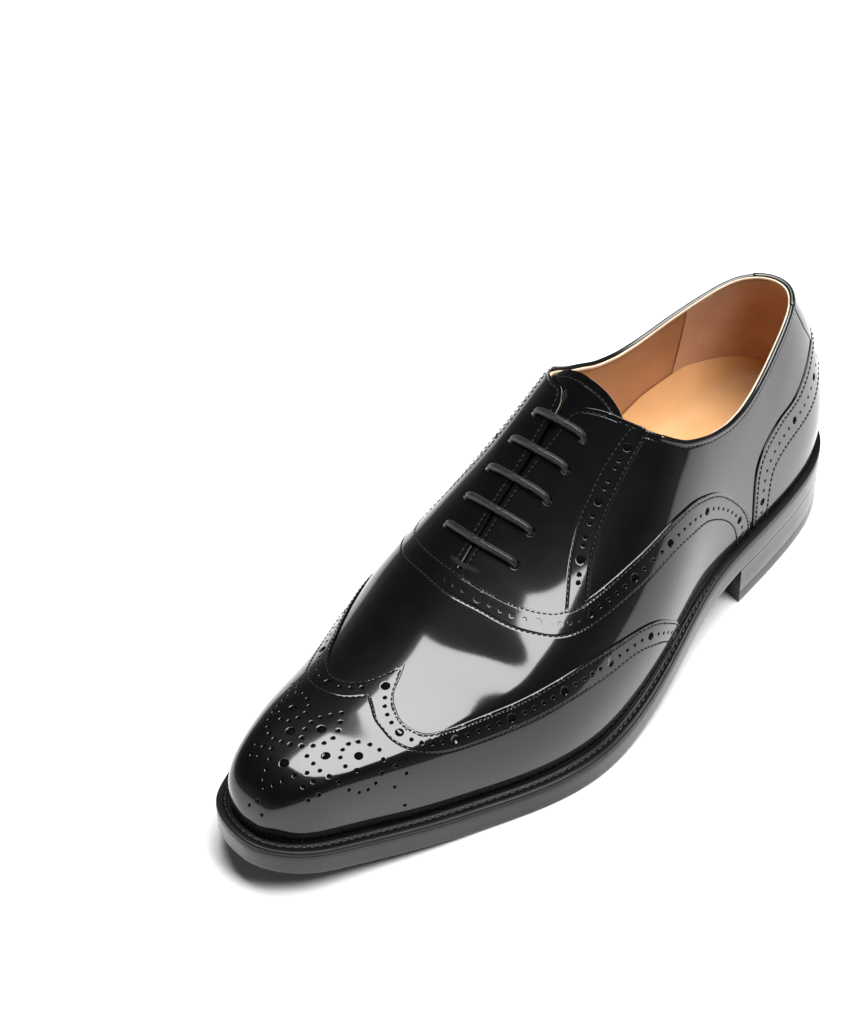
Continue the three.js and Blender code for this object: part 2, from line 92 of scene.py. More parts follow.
# station, outer half-width, inner half-width of the welt's outline
RIM = [(0, 0, 0), (4, 15, 17), (12, 23, 27), (25, 29.4, 32.5), (45, 34.2, 34),
       (70, 37.8, 32.1), (100, 42.3, 29.6), (130, 50.9, 31.1), (160, 57.7, 38),
       (185, 58.9, 45.4), (205, 54.8, 49.1), (225, 47.6, 48.6), (245, 40.2, 44.5),
       (262, 33.3, 38.4), (276, 27.6, 32.2), (288, 22.4, 26.7), (297, 15.5, 20.5),
       (304, 0, 0)]
WELT_SHOW = [(0, 2.2), (40, 2.4), (75, 2.8), (100, 3.2), (130, 4.2), (160, 5.2),
             (185, 5.8), (304, 5.8)]
FEATHER = [(2.2, 0, 0), (6, 14, 16), (13, 20.9, 24.9), (25, 26.9, 30.1), (45, 31.7, 31.5),
           (70, 35, 29.3), (100, 39, 26.4), (130, 46.6, 26.9), (160, 52.5, 32.6),
           (185, 53.1, 39.4), (205, 48.7, 43.3), (225, 41.4, 42.8), (245, 34, 38.4),
           (262, 27, 32.1), (276, 21.4, 25.8), (286, 16.9, 21.2), (293, 11.3, 16.3),
           (298.2, 0, 0)]
# station, height of the ridge over the welt, place across
RIDGE = [(2.2, 130.5, -1.4), (30, 128.8, -2.8), (60, 120.6, -5.3), (85, 106, -7.6),
         (105, 94.8, -9.4), (125, 84, -10), (145, 75, -10), (165, 66.2, -9.2),
         (185, 56.4, -6.6), (205, 47.3, -2.8), (225, 39.7, 0.3), (245, 34.6, 1.7),
         (262, 31.6, 1.3), (276, 27.4, 0.3), (287, 21.9, -0.8), (293.5, 16.2, -1.6),
         (298.2, 0, -2.1)]
# station, side squareness, top squareness, bulge, bulge bias to the outer side
SECTION = [(2.2, -0.032, -0.112, -0.7, -0.9), (45, -0.012, -0.053, -3.6, -1.1),
           (85, 0.018, 0.008, 2.4, -1.9), (120, 0.027, -0.008, 7.4, -1.6),
           (155, 0.03, -0.007, 6.6, -2.2), (190, 0.026, 0.018, 5.4, -1.3),
           (225, 0.022, 0.064, 0.8, 0.4), (260, 0.038, 0.117, 0.6, 0),
           (285, 0.051, 0.133, 1.0, -0.7), (298.2, 0.029, 0.091, 1.2, -1)]
HEEL_CURVE = [(0, 0.3), (12, 4.2), (26, 4.3), (42, 1.7), (58, -4), (72, -10.8), (110, -16)]
# station, height over the floor of the collar on the outer and inner side
COLLAR = [(-30, 101, 101), (12, 100.5, 100.5), (20, 98.2, 99.9), (30, 94.8, 98.2),
          (45, 89.7, 94.4), (56, 87, 91.4), (66, 85.7, 89.2), (76, 86.3, 88.3),
          (88, 89.2, 90), (101, 94.1, 95.5), (110, 100, 101.2), (118, 105.2, 105.4),
          (126, 109, 109.5), (140, 112, 113)]
SLIT = [(112, 4.6), (124, 3.2), (136, 1.7), (150, 0.8), (170, 0.6), (187, 0.5)]
SLIT_END = 186.2

# panel lines, (station, degrees)
WING_OUTER = [(223.9, 86.9), (230, 84), (233.9, 81.9), (237.3, 77.9), (239.7, 72.5), (241.4, 65.7),
              (241, 58.4), (239, 51.6), (233.5, 47.0), (219.8, 43.6), (206, 41.1),
              (191.3, 38.6), (174, 34.6), (155.5, 28.1), (145.8, 24.0), (137.8, 19.2),
              (131, 13.2), (123.1, 4.7), (120.5, 0)]
WING_OUTER_LOW = [(241.4, 89.6), (244.4, 82.6), (247.4, 75), (248.6, 67), (249.2, 59.2), (247.9, 50.1),
                  (245, 42.9), (238.5, 35.6), (223.9, 31.6), (209.9, 30.7), (194.9, 29.6), (178.1, 26.9),
                  (169, 24.6), (158.4, 21.8), (150, 18.7), (142.4, 14.1), (132.7, 6.3), (128.6, 0)]
WING_INNER = [(223.9, 86.9), (228.9, 90.2), (234.6, 93.8), (239, 98.8), (241, 102.8), (242.4, 108.2),
              (242, 113.6), (240, 118.7), (235.3, 125.9), (225.7, 132.4), (210.3, 138.4),
              (196, 142.2), (180, 145.4), (164, 149.6), (150, 155.6), (139, 163.6), (131, 172), (126.5, 180)]
WING_INNER_LOW = [(241.4, 89.6), (244.9, 94.2), (247.4, 98.6), (249.4, 105.7), (250.2, 112.9),
                  (249.5, 119.4), (247.9, 125.9), (242.4, 134), (229, 142.3), (212, 147.2),
                  (196, 150.7), (180, 153.6), (166, 157.4), (155, 163), (145, 170.4), (136, 180)]
VAMP_EDGE = [(187.2, 90), (186.6, 80.4), (185.1, 72.9), (182.7, 66), (179, 59.5), (174.8, 54.8),
             (169.8, 51.2), (161.4, 47.6), (152.1, 45.0), (142.4, 42.6), (132.3, 40), (121.4, 36.8),
             (113.2, 33.2), (104.7, 28.9), (98.5, 25.2), (91.2, 20.9), (84, 16.1), (77.4, 11.3),
             (72.4, 7.2), (69.8, 3.8), (68.6, 0)]
VAMP_LOW = [(195.4, 90), (194.7, 82.7), (193.3, 75.4), (191.7, 67.8), (188.8, 60.6), (184.7, 54.5),
            (180.6, 49.8), (175.2, 45.8), (166.4, 41.8), (157.6, 38.9), (147.5, 36.2), (137.3, 33.5),
            (125.6, 30.3), (117.3, 27.1), (108.5, 22.9), (101.5, 19.6), (92.8, 14.6), (85.3, 9.9),
            (80, 5.4), (77.4, 0)]
FACING_ROW_A = [(116.2, 64.9), (118.1, 65.3), (123.5, 66.2), (128.9, 66.6), (135.2, 66.3), (142, 65.3),
                (147.9, 64.2), (154.6, 61.8), (159.7, 59.4), (164.3, 56.6), (169.5, 52.9), (175, 49)]
FACING_ROW_B = [(110.8, 59.0), (113.2, 59.6), (119, 60.3), (125.2, 60.5), (131, 60.2), (137.8, 59.3),
                (143.7, 58.1), (150, 56.2), (155.1, 53.7), (159.3, 50.9), (163.5, 47.6), (168, 43.6)]
COUNTER_EDGE = [(5.2, 31.3), (12.1, 29.4), (18.9, 26.8), (26.2, 24.1), (33.9, 21.9), (43.2, 20.6),
                (53.2, 18.2), (59.0, 16.2), (62.8, 13.8), (64.9, 10.6), (66.2, 5.9), (66.7, 0)]
COUNTER_LOW = [(3.2, 24.0), (10, 20.6), (18.5, 17.0), (27.5, 15.0), (38.5, 13.6), (47.5, 12.0),
               (53.2, 9.9), (56.0, 6.6), (57.4, 2.8), (57.9, 0)]
# inner side and outer side of each lace bar: station, degrees
BARS = [(131.4, 100.5, 130.2, 77.2), (141.9, 102.3, 140.8, 76.7), (152.9, 103.3, 151.7, 76.2),
        (164.1, 104, 162.7, 75.2), (175.2, 104.3, 174, 73.8)]
# toe medallion: station, distance from its axis; mirrored about the axis
MEDALLION_LARGE = [(263.0, 0), (280.8, 0), (270.5, 8.4), (263.0, 16.0)]
MEDALLION_SMALL = [
    (253.2, 0), (272.3, 0), (290.8, 0), (294.6, 0),
    (256.4, 2.3), (259.6, 4.3), (263.1, 5.2), (266.7, 4.5), (269.8, 2.6),
    (261.6, 10.4), (258.6, 12.0), (256.6, 15.4), (255.6, 18.7), (256.6, 21.4), (259.2, 22.9),
    (266.9, 18.6), (269.2, 15.6), (267.9, 12.3), (264.9, 10.7),
    (253.7, 24.2), (250.9, 26.4), (256.0, 25.6), (253.2, 27.4),
    (262.2, 22.8), (265.2, 22.1), (268.4, 21.0), (271.7, 19.4), (274.2, 17.0),
    (275.8, 14.2), (276.2, 10.8), (275.3, 7.4), (274.2, 3.9),
    (282.4, 5.7), (279.4, 8.2), (280.6, 11.7), (281.6, 14.9), (283.9, 10.4), (285.2, 13.4),
    (285.9, 3.8), (288.7, 2.2), (296.2, 3.0)]
LARGE_R, SMALL_R = 1.55, 0.72
REPEAT = (22.3, (5.0, 9.1, 13.2, 17.3))       # a large hole, then four small ones
FACING_REPEAT = (22.3, (5.6, 8.6, 14.0, 17.0))


# ------------------------------------------------------------------ maths
def spline(xs, ys, flat0=False, flat1=False):
    xs, ys = np.asarray(xs, float), np.asarray(ys, float)
    n, h = len(xs), np.diff(xs)
    a, b = np.zeros((n, n)), np.zeros(n)
    a[0, 0] = a[-1, -1] = 1
    if flat0:
        a[0, 0], a[0, 1], b[0] = h[0] / 3, h[0] / 6, (ys[1] - ys[0]) / h[0]
    if flat1:
        a[-1, -1], a[-1, -2], b[-1] = h[-1] / 3, h[-1] / 6, -(ys[-1] - ys[-2]) / h[-1]
    for i in range(1, n - 1):
        a[i, i - 1], a[i, i], a[i, i + 1] = h[i - 1] / 6, (h[i - 1] + h[i]) / 3, h[i] / 6
        b[i] = (ys[i + 1] - ys[i]) / h[i] - (ys[i] - ys[i - 1]) / h[i - 1]
    m = np.linalg.solve(a, b)

    def f(x):
        x = np.asarray(x, float)
        i = np.clip(np.searchsorted(xs, x), 1, n - 1)
        hh = xs[i] - xs[i - 1]
        p = (xs[i] - x) / hh
        q = 1 - p
        return p * ys[i - 1] + q * ys[i] + ((p ** 3 - p) * m[i - 1] + (q ** 3 - q) * m[i]) * hh * hh / 6
    return f


def col(rows, k):
    return np.array([r[k] for r in rows], float)


def angle_of(s, a=S0, b=S1):
    return np.arccos(np.clip(1 - 2 * (np.asarray(s, float) - a) / (b - a), -1, 1))


def station_of(t, a=S0, b=S1):
    return a + (b - a) * (1 - np.cos(t)) / 2


def smoothstep(x, a, b):
    k = np.clip((np.asarray(x, float) - a) / (b - a), 0, 1)
    return k * k * (3 - 2 * k)


def along(rows, k, f0, f1, a=S0, b=S1):
    return spline(angle_of(col(rows, 0), a, b), col(rows, k), f0, f1)


rim_outer = along(RIM, 1, False, False, 0, SOLE_LENGTH)
rim_inner = along(RIM, 2, False, False, 0, SOLE_LENGTH)
feather_outer, feather_inner = along(FEATHER, 1, False, False), along(FEATHER, 2, False, False)
ridge_height, ridge_across = along(RIDGE, 1, True, False), along(RIDGE, 2, True, True)
side_sq, top_sq = along(SECTION, 1, True, True), along(SECTION, 2, True, True)
bulge, bias = along(SECTION, 3, True, True), along(SECTION, 4, True, True)
heel_back = spline(col(HEEL_CURVE, 0), col(HEEL_CURVE, 1))


def tread_height(s):
    k = np.clip((np.asarray(s, float) - SPRING_START) / (SOLE_LENGTH - SPRING_START), 0, 1)
    a = np.clip((ARCH_FRONT - s) / (ARCH_FRONT - ARCH_BACK), 0, 1)
    return TOE_SPRING * k * k + HEEL_HEIGHT * a * a * (3 - 2 * a)


def welt_top(s):
    return tread_height(s) + SOLE_EDGE + WELT_EDGE


def place(x, s, z):
    x, s, z = np.broadcast_arrays(x, s, z)
    return np.stack([x + SHIFT_X, SHIFT_Y - s, z], -1)


def last_xsz(t, phi, d=0.0):
    t, phi, d = np.broadcast_arrays(np.asarray(t, float), np.asarray(phi, float), np.asarray(d, float))
    s = station_of(t, S0 - d, S1 + d)
    g = d * np.sin(t)
    lo, li = feather_outer(t) + g, feather_inner(t) + g
    half, mid = (lo + li) / 2, (lo - li) / 2
    a, b, c, q = side_sq(t), top_sq(t), np.cos(phi), np.sin(phi)
    x = (mid * c * c + ridge_across(t) * q * q + half * (c - a * np.cos(3 * phi)) / (1 - a)
         + (bulge(t) + bias(t) * c) * np.sin(2 * phi) * np.minimum(1, half / 12))
    h = (ridge_height(t) + g) * (q + b * np.sin(3 * phi)) / (1 - b)
    f = np.clip(s / 80.0, 0, 1)
    return x, s - heel_back(h) * (1 - f) ** 2 * (1 + 2 * f), welt_top(s) + h


def last(t, phi, d=0.0):
    return place(*last_xsz(t, phi, d))


# flat chart of the upper: x along the girth from the ridge, y along the shoe
NT, NP = 361, 241
_tg, _pg = np.linspace(0, PI, NT), np.linspace(0, PI, NP)
_grid = last(_tg[:, None], _pg[None, :])
_arc = np.concatenate([np.zeros((NT, 1)), np.cumsum(np.linalg.norm(np.diff(_grid, axis=1), axis=2), axis=1)], 1)
_arc = _arc - _arc[:, NP // 2][:, None]
_len = np.concatenate([[0], np.cumsum(np.linalg.norm(np.diff(_grid, axis=0), axis=2).mean(1))])


def chart(t, phi):
    u, v = np.clip(t / PI * (NT - 1), 0, NT - 1.000001), np.clip(phi / PI * (NP - 1), 0, NP - 1.000001)
    i, j = u.astype(int), v.astype(int)
    a, b = u - i, v - j
    x = ((_arc[i, j] * (1 - a) + _arc[i + 1, j] * a) * (1 - b)
         + (_arc[i, j + 1] * (1 - a) + _arc[i + 1, j + 1] * a) * b)
    return np.stack([x, _len[i] * (1 - a) + _len[i + 1] * a], -1)


def unit(v):
    return v / (np.linalg.norm(v, axis=-1, keepdims=True) + 1e-12)


# Soft creases: station, degrees, depth, half-width, half-length, turn of the
# long axis from straight across, in mm and degrees.
CREASES = [
    (202.0, 60, -0.34, 7.0, 24, 26),
    (204.0, 128, -0.08, 5.5, 14, 24), (197.0, 143, 0.08, 5.4, 12, 30),
    (99.0, 50, -0.34, 6.0, 15, -38), (88.0, 42, 0.22, 6.0, 14, -30),
    (99.0, 130, -0.34, 6.0, 15, 38), (88.0, 138, 0.22, 6.0, 14, 30),
    (58.0, 34, -0.26, 6.5, 15, -70), (58.0, 146, -0.26, 6.5, 15, 70),
    (124.0, 56, -0.10, 5.0, 18, 78), (126.0, 124, -0.16, 4.5, 20, -78),
    (141.0, 108.0, 0.16, 3.4, 20, -84),
    (34.0, 28, 0.20, 7.0, 16, -60), (34.0, 152, 0.20, 7.0, 16, 60),
    (281.0, 90, 1.25, 13.0, 19.0, 90), (263.0, 58, -1.35, 10.5, 34.0, 90)]
_cc = chart(angle_of(col(CREASES, 0)), np.radians(col(CREASES, 1)))


def relief(t, phi):
    q = chart(np.asarray(t, float), np.asarray(phi, float))
    out = np.zeros(q.shape[:-1])
    for (_, _, depth, wide, long, turn), c in zip(CREASES, _cc):
        a = math.radians(turn)
        dx, dy = q[..., 0] - c[0], q[..., 1] - c[1]
        u, v = dx * math.cos(a) + dy * math.sin(a), -dx * math.sin(a) + dy * math.cos(a)
        out += depth * np.exp(-(v / wide) ** 2 - (u / long) ** 2)
    return out


def surf(t, phi, d):
    return last(t, phi, d + relief(t, phi))


def axes_at(t, phi, d=0.0, shape=last):
    """Derivatives and the outward normal at places on the surface."""
    t = np.clip(np.asarray(t, float), 0.012, PI - 0.012)
    phi = np.clip(np.asarray(phi, float), 0.004, PI - 0.004)
    e = 1.5e-3
    pt = (shape(t + e, phi, d) - shape(t - e, phi, d)) / (2 * e)
    pp = (shape(t, phi + e, d) - shape(t, phi - e, d)) / (2 * e)
    return pt, pp, unit(np.cross(pp, pt))


def shift(t, phi, vec, d=0.0):
    """Move places on the surface by tangent vectors in mm."""
    pt, pp, _ = axes_at(t, phi, d)
    a, b, c = (pt * pt).sum(-1), (pt * pp).sum(-1), (pp * pp).sum(-1)
    u, v = (pt * vec).sum(-1), (pp * vec).sum(-1)
    det = a * c - b * b + 1e-9
    return np.clip(t + (u * c - v * b) / det, 0, PI), np.clip(phi + (v * a - u * b) / det, 0, PI)


def length_of(c, d=0.0):
    p = last(c[:, 0], c[:, 1], d)
    return np.concatenate([[0], np.cumsum(np.linalg.norm(np.diff(p, axis=0), axis=1))])


def resample(c, step=None, n=None):
    u = length_of(c)
    if n is None:
        n = max(2, int(round(u[-1] / step)) + 1)
    v = np.linspace(0, u[-1], n)
    return np.stack([np.interp(v, u, c[:, 0]), np.interp(v, u, c[:, 1])], 1)


def line(rows, step=1.3):
    c = np.stack([angle_of(col(rows, 0)), np.radians(col(rows, 1))], 1)
    if len(c) > 2:
        u = length_of(c)
        v = np.linspace(0, u[-1], len(c) * 24)
        c = np.stack([spline(u, c[:, 0])(v), spline(u, c[:, 1])(v)], 1)
        c[:, 1] = np.clip(c[:, 1], 0, PI)
    return resample(c, step)


def mirrored(c):
    return np.stack([c[:, 0], PI - c[:, 1]], 1)


def mix(a, b, w, step=1.3):
    n = max(len(a), len(b)) * 2
    a, b = resample(a, n=n), resample(b, n=n)
    return resample(np.clip(a * (1 - w) + b * w, 0, PI), step)


def join(*parts):
    out = [parts[0]]
    for p in parts[1:]:
        out.append(p[1:] if np.abs(out[-1][-1] - p[0]).max() < 1e-6 else p)
    return np.concatenate(out)


def solve_phi(t, target, which, lo, hi):
    """Degree on a row where x (0) or z (2) takes a value, by halving."""
    t = np.asarray(t, float)
    lo, hi = np.full(t.shape, float(lo)), np.full(t.shape, float(hi))
    f_lo = last_xsz(t, lo)[which] - target
    for _ in range(44):
        m = (lo + hi) / 2
        f = last_xsz(t, m)[which] - target
        same = np.sign(f) == np.sign(f_lo)
        lo, hi = np.where(same, m, lo), np.where(same, hi, m)
    return (lo + hi) / 2


def collar_line(side, front, drop=0.0, step=1.3):
    """Collar from the back seam (t = 0) to a station in front."""
    t = np.linspace(0, float(angle_of(front)), 260)
    k = 1 if side > 0 else 2
    phi = np.full(t.shape, PI / 5)
    for _ in range(6):
        s = last_xsz(t, phi)[1]
        phi = solve_phi(t, np.interp(s, col(COLLAR, 0), col(COLLAR, k)) - drop, 2, 0.0, PI / 2) if side > 0 else \
            PI - solve_phi_inner(t, np.interp(s, col(COLLAR, 0), col(COLLAR, k)) - drop)
    return resample(np.stack([t, phi], 1), step)


def solve_phi_inner(t, z):
    lo, hi = np.zeros(t.shape), np.full(t.shape, PI / 2)
    for _ in range(44):
        m = (lo + hi) / 2
        low = last_xsz(t, PI - m)[2] < z
        lo, hi = np.where(low, m, lo), np.where(low, hi, m)
    return (lo + hi) / 2


def slit_line(side, start, end, extra=0.0, n=60):
    s = np.linspace(start, end, n)
    t = angle_of(s)
    half = np.interp(s, col(SLIT, 0), col(SLIT, 1)) + (extra(s) if callable(extra) else extra)
    x = last_xsz(t, np.full(n, PI / 2))[0] + side * half
    phi = solve_phi(t, x, 0, 0.3, PI / 2 + 0.25) if side > 0 else solve_phi(t, x, 0, PI / 2 - 0.25, PI - 0.3)
    return np.stack([t, phi], 1)


# ------------------------------------------------------------------ meshes
def new_object(name, verts, faces, normals=None, mats=(), face_mats=None, smooth=True):
    me = bpy.data.meshes.new(name)
    me.from_pydata((np.asarray(verts) * 0.001).tolist(), [], [list(map(int, f)) for f in faces])
    for m in mats:
        me.materials.append(m)
    if face_mats is not None:
        me.polygons.foreach_set("material_index", np.asarray(face_mats, np.int32))
    me.polygons.foreach_set("use_smooth", [smooth] * len(me.polygons))
    me.update()
    if normals is not None:
        me.normals_split_custom_set_from_vertices([tuple(map(float, v)) for v in normals])
    ob = bpy.data.objects.new(name, me)
    SCENE.collection.objects.link(ob)
    return ob


def adopt(ob, slot, *nodes):
    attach(ob, "root")
    if nodes:
        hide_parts(*nodes)
    return ob


def tree(points):
    kd = KDTree(len(points))
    for i, p in enumerate(points):
        kd.insert(p, i)
    kd.balance()
    return kd


def near(kd, points):
    return np.array([kd.find(p)[2] for p in points]) if len(points) else np.zeros(0)


def inside(poly, pts):
    x, y = pts[:, 0], pts[:, 1]
    out = np.zeros(len(pts), bool)
    x0, y0 = poly[:, 0], poly[:, 1]
    x1, y1 = np.roll(x0, -1), np.roll(y0, -1)
    for k in range(0, len(pts), 3000):
        xx, yy = x[k:k + 3000, None], y[k:k + 3000, None]
        cross = (y0 > yy) != (y1 > yy)
        with np.errstate(divide="ignore", invalid="ignore"):
            at = (x1 - x0) * (yy - y0) / (y1 - y0) + x0
        out[k:k + 3000] = (np.sum(cross & (xx < at), axis=1) % 2) == 1
    return out


def sheet(name, outline, top, bottom, mats, holes=(), grooves=(), spacing=2.3, drop=0.16,
          shape=surf, under=surf, wall_mat=0, bottom_mat=0, groove_depth=0.09, round_edge=0.8, t_end=PI - 0.035):
    """A closed leather panel on the last: outline of (t, phi), punched holes
    (t, phi, radius) and sewn grooves, between two depths."""
    poly = chart(outline[:, 0], outline[:, 1])
    area = 0.5 * np.sum(poly[:, 0] * np.roll(poly[:, 1], -1) - np.roll(poly[:, 0], -1) * poly[:, 1])
    if area < 0:
        outline, poly = outline[::-1], poly[::-1]
    n_out = len(outline)
    tt, pp_, dd, tilt, tag = [outline[:, 0]], [outline[:, 1]], [np.full(n_out, -drop)], [], [np.full(n_out, -1)]

    p3 = last(outline[:, 0], outline[:, 1], top)
    _, _, nrm = axes_at(outline[:, 0], outline[:, 1], top)
    tan = unit(np.roll(p3, -1, 0) - np.roll(p3, 1, 0))
    inward = unit(np.cross(nrm, tan))
    tilt.append(-inward * round_edge)
    edge_tree = tree(p3)

    def add(t, p, drop_by, lean, mark):
        tt.append(t), pp_.append(p), dd.append(np.broadcast_to(drop_by, t.shape).astype(float))
        tilt.append(lean), tag.append(np.full(len(t), mark))

    hole_loops, start = [], n_out
    taken = [p3]
    for k, (ht, hp, r) in enumerate(holes):
        n = 14 if r > 1.2 else 9
        hn = axes_at(np.array([ht]), np.array([hp]), top)
        a = unit(hn[1])[0]
        b = np.cross(hn[2][0], a)
        ang = -2 * PI * np.arange(n) / n
        ring = np.cos(ang)[:, None] * a + np.sin(ang)[:, None] * b
        for rr, dr, lean in ((r, 0.09, 0.62), (r + 0.2, 0.0, 0.07), (r + 0.6, 0.0, 0.0)):
            t_, p_ = shift(np.full(n, ht), np.full(n, hp), ring * rr)
            if rr == r:
                hole_loops.append(np.arange(start, start + n))
            add(t_, p_, -dr, -ring * lean, k if rr == r else -2)
            start += n
            taken.append(last(t_, p_, top))
    hole_tree = tree(np.concatenate(taken[1:])) if holes else None

    def keep_clear(t, p, edge, hole):
        q = last(t, p, top)
        ok = near(edge_tree, q) > edge
        if hole_tree is not None:
            ok &= near(hole_tree, q) > hole
        ok &= inside(poly, chart(t, p)) & (t < t_end)
        return ok, q

    # grooves under the stitches
    groove_pts = []
    for g in grooves:
        g = resample(g, 1.5)
        gp = last(g[:, 0], g[:, 1], top)
        gt = unit(np.gradient(gp, axis=0))
        _, _, gn = axes_at(g[:, 0], g[:, 1], top)
        side = unit(np.cross(gn, gt))
        for off, dr, lean in ((0, groove_depth, 0), (-0.32, groove_depth * 0.6, 0.26), (0.32, groove_depth * 0.6, -0.26),
                              (-0.85, 0, 0), (0.85, 0, 0)):
            t_, p_ = shift(g[:, 0], g[:, 1], side * off)
            ok, q = keep_clear(t_, p_, 0.30, 0.30)
            add(t_[ok], p_[ok], -dr, side[ok] * lean, -2)
            groove_pts.append(q[ok])
    # rings just inside the outline
    fixed = tree(np.concatenate(groove_pts + taken[1:])) if (groove_pts or holes) else None
    ring_pts = []
    for off, dr in ((0.34, 0.03), (0.95, 0.0)):
        t_, p_ = shift(outline[:, 0], outline[:, 1], inward * off)
        ok, q = keep_clear(t_, p_, off * 0.85, 0.35)
        if fixed is not None:
            ok &= near(fixed, q) > 0.30
        add(t_[ok], p_[ok], -dr, inward[ok] * 0, -2)
        ring_pts.append(q[ok])
    # interior
    used = tree(np.concatenate([p3] + taken[1:] + groove_pts + ring_pts))
    rows, lo, hi = [], outline[:, 0].min(), outline[:, 0].max()
    l0, l1 = np.interp([lo, hi], _tg, _len)
    for k, y in enumerate(np.arange(l0 + spacing / 2, l1, spacing * 0.87)):
        t = float(np.interp(y, _len, _tg))
        girth = np.interp(t, _tg, _arc[:, -1] - _arc[:, 0])
        n = max(3, int(girth / spacing))
        p = (np.arange(n) + (0.25 if k % 2 else 0.75)) / n
        # even steps along the girth
        i = int(min(NT - 2, t / PI * (NT - 1)))
        row = _arc[i]
        p = np.interp(row[0] + p * (row[-1] - row[0]), row, _pg)
        rows.append(np.stack([np.full(n, t), p], 1))
    rows = np.concatenate(rows)
    rows = rows[rows[:, 0] < t_end]
    ok = inside(poly, chart(rows[:, 0], rows[:, 1]))
    rows = rows[ok]
    rows = rows[near(used, last(rows[:, 0], rows[:, 1], top)) > spacing * 0.55]
    add(rows[:, 0], rows[:, 1], 0.0, np.zeros((len(rows), 3)), -2)

    t, p = np.concatenate(tt), np.concatenate(pp_)
    d, lean, mark = np.concatenate(dd), np.concatenate(tilt), np.concatenate(tag)
    flat = chart(t, p)
    loops = [np.arange(n_out)] + hole_loops
    edges = [(int(a), int(b)) for lp in loops for a, b in zip(lp, np.roll(lp, -1))]
    _, _, tris, orig, _, _ = delaunay_2d_cdt([Vector(v) for v in flat.tolist()], edges, [], 0, 1e-6, True)
    canon = np.arange(len(t))
    first = np.full(len(orig), -1)
    for i, o in enumerate(orig):
        if o:
            first[i] = o[0]
            canon[o] = o[0]
    tris = first[np.array([f for f in tris if len(f) == 3])]
    tris = tris[(tris >= 0).all(1)]
    m = mark[tris]
    in_hole = (m[:, 0] >= 0) & (m[:, 0] == m[:, 1]) & (m[:, 1] == m[:, 2])
    tris = tris[~in_hole]
    rim = (mark[tris] == -1).all(1)
    ok = np.ones(len(tris), bool)
    ok[rim] = inside(poly, flat[tris[rim]].mean(1))
    tris = tris[ok]

    _, _, n_top = axes_at(t, p, top, shape)
    n_top[t < 1e-7, 0] = 0.0
    up = shape(t, p, top + d)
    dn = under(t, p, bottom)
    n = len(t)
    verts = np.concatenate([up, dn])
    norms = np.concatenate([unit(n_top + lean), unit(-n_top + lean)])
    faces = [tuple(f) for f in tris] + [(f[0] + n, f[2] + n, f[1] + n) for f in tris]
    fm = [0] * len(tris) + [bottom_mat] * len(tris)
    seam = (t < 1e-7)
    for lp in loops:
        for a, b in zip(lp, np.roll(lp, -1)):
            a, b = canon[a], canon[b]
            if seam[a] and seam[b]:
                continue
            faces.append((a, a + n, b + n, b))
            fm.append(wall_mat)
    # join the two halves along the back seam
    remap = np.arange(2 * n)
    seen = {}
    for i in np.nonzero(seam)[0]:
        key = round(float(up[i, 2]), 1)
        if key in seen:
            j = seen[key]
            remap[i], remap[i + n] = j, j + n
            for o in (0, n):
                norms[j + o] = unit(norms[j + o] + norms[i + o])
        else:
            seen[key] = i
    faces = [tuple(remap[v] for v in f) for f in faces]
    keep = [len(set(f)) == len(f) for f in faces]
    faces, fm = [f for f, k in zip(faces, keep) if k], [m_ for m_, k in zip(fm, keep) if k]
    used_v = np.zeros(2 * n, bool)
    for f in faces:
        used_v[list(f)] = True
    idx = np.cumsum(used_v) - 1
    faces = [tuple(idx[v] for v in f) for f in faces]
    return new_object(name, verts[used_v], faces, norms[used_v], mats, fm)


def tube(path, across, out, half_a, half_b, sides=14, power=2.0, closed=False, round_ends=True):
    """Swept rounded bar: path points, two axes per point and half sizes."""
    path, n = np.asarray(path, float), len(path)
    ang = 2 * PI * np.arange(sides) / sides
    c, s = np.cos(ang), np.sin(ang)
    k = (np.abs(c) ** power + np.abs(s) ** power) ** (-1 / power)
    ha, hb = np.broadcast_to(half_a, n), np.broadcast_to(half_b, n)
    scale = np.ones(n)
    verts = (path[:, None, :] + across[:, None, :] * (c * k)[None, :, None] * (ha * scale)[:, None, None]
             + out[:, None, :] * (s * k)[None, :, None] * (hb * scale)[:, None, None])
    verts = verts.reshape(-1, 3)
    faces = []
    rows = n if closed else n - 1
    for i in range(rows):
        j = (i + 1) % n
        for q in range(sides):
            r = (q + 1) % sides
            faces.append((i * sides + q, i * sides + r, j * sides + r, j * sides + q))
    if not closed:
        if round_ends:
            extra = []
            base = len(verts)
            for e, inner in ((0, 1), (n - 1, n - 2)):
                way = unit(path[e] - path[inner])
                for sc, push in ((0.8, 0.5), (0.42, 0.82)):
                    extra.append(path[e] + way * push * min(ha[e], hb[e]) + across[e] * ((c * k) * ha[e] * sc)[:, None]
                                 + out[e] * ((s * k) * hb[e] * sc)[:, None])
            verts = np.concatenate([verts] + extra)
            for e, (a, flip) in enumerate(((0, True), ((n - 1) * sides, False))):
                r0 = base + e * 2 * sides
                for x, y in ((a, r0), (r0, r0 + sides)):
                    for q in range(sides):
                        r = (q + 1) % sides
                        f = (x + q, x + r, y + r, y + q)
                        faces.append(f[::-1] if flip else f)
                last_ring = tuple(r0 + sides + q for q in range(sides))
                faces.append(last_ring if not flip else last_ring[::-1])
        else:
            faces.append(tuple(range(sides))[::-1])
            faces.append(tuple((n - 1) * sides + q for q in range(sides)))
    # orientation
    a, b = verts[faces[0][0]], verts[faces[0][1]]
    cpt = verts[faces[0][3]]
    if np.dot(np.cross(b - a, cpt - a), (a + b) / 2 - path[0]) < 0:
        faces = [f[::-1] for f in faces]
    return verts, faces


def merge(parts):
    verts, faces, base = [], [], 0
    for v, f in parts:
        verts.append(v)
        faces += [tuple(i + base for i in q) for q in f]
        base += len(v)
    return np.concatenate(verts), faces


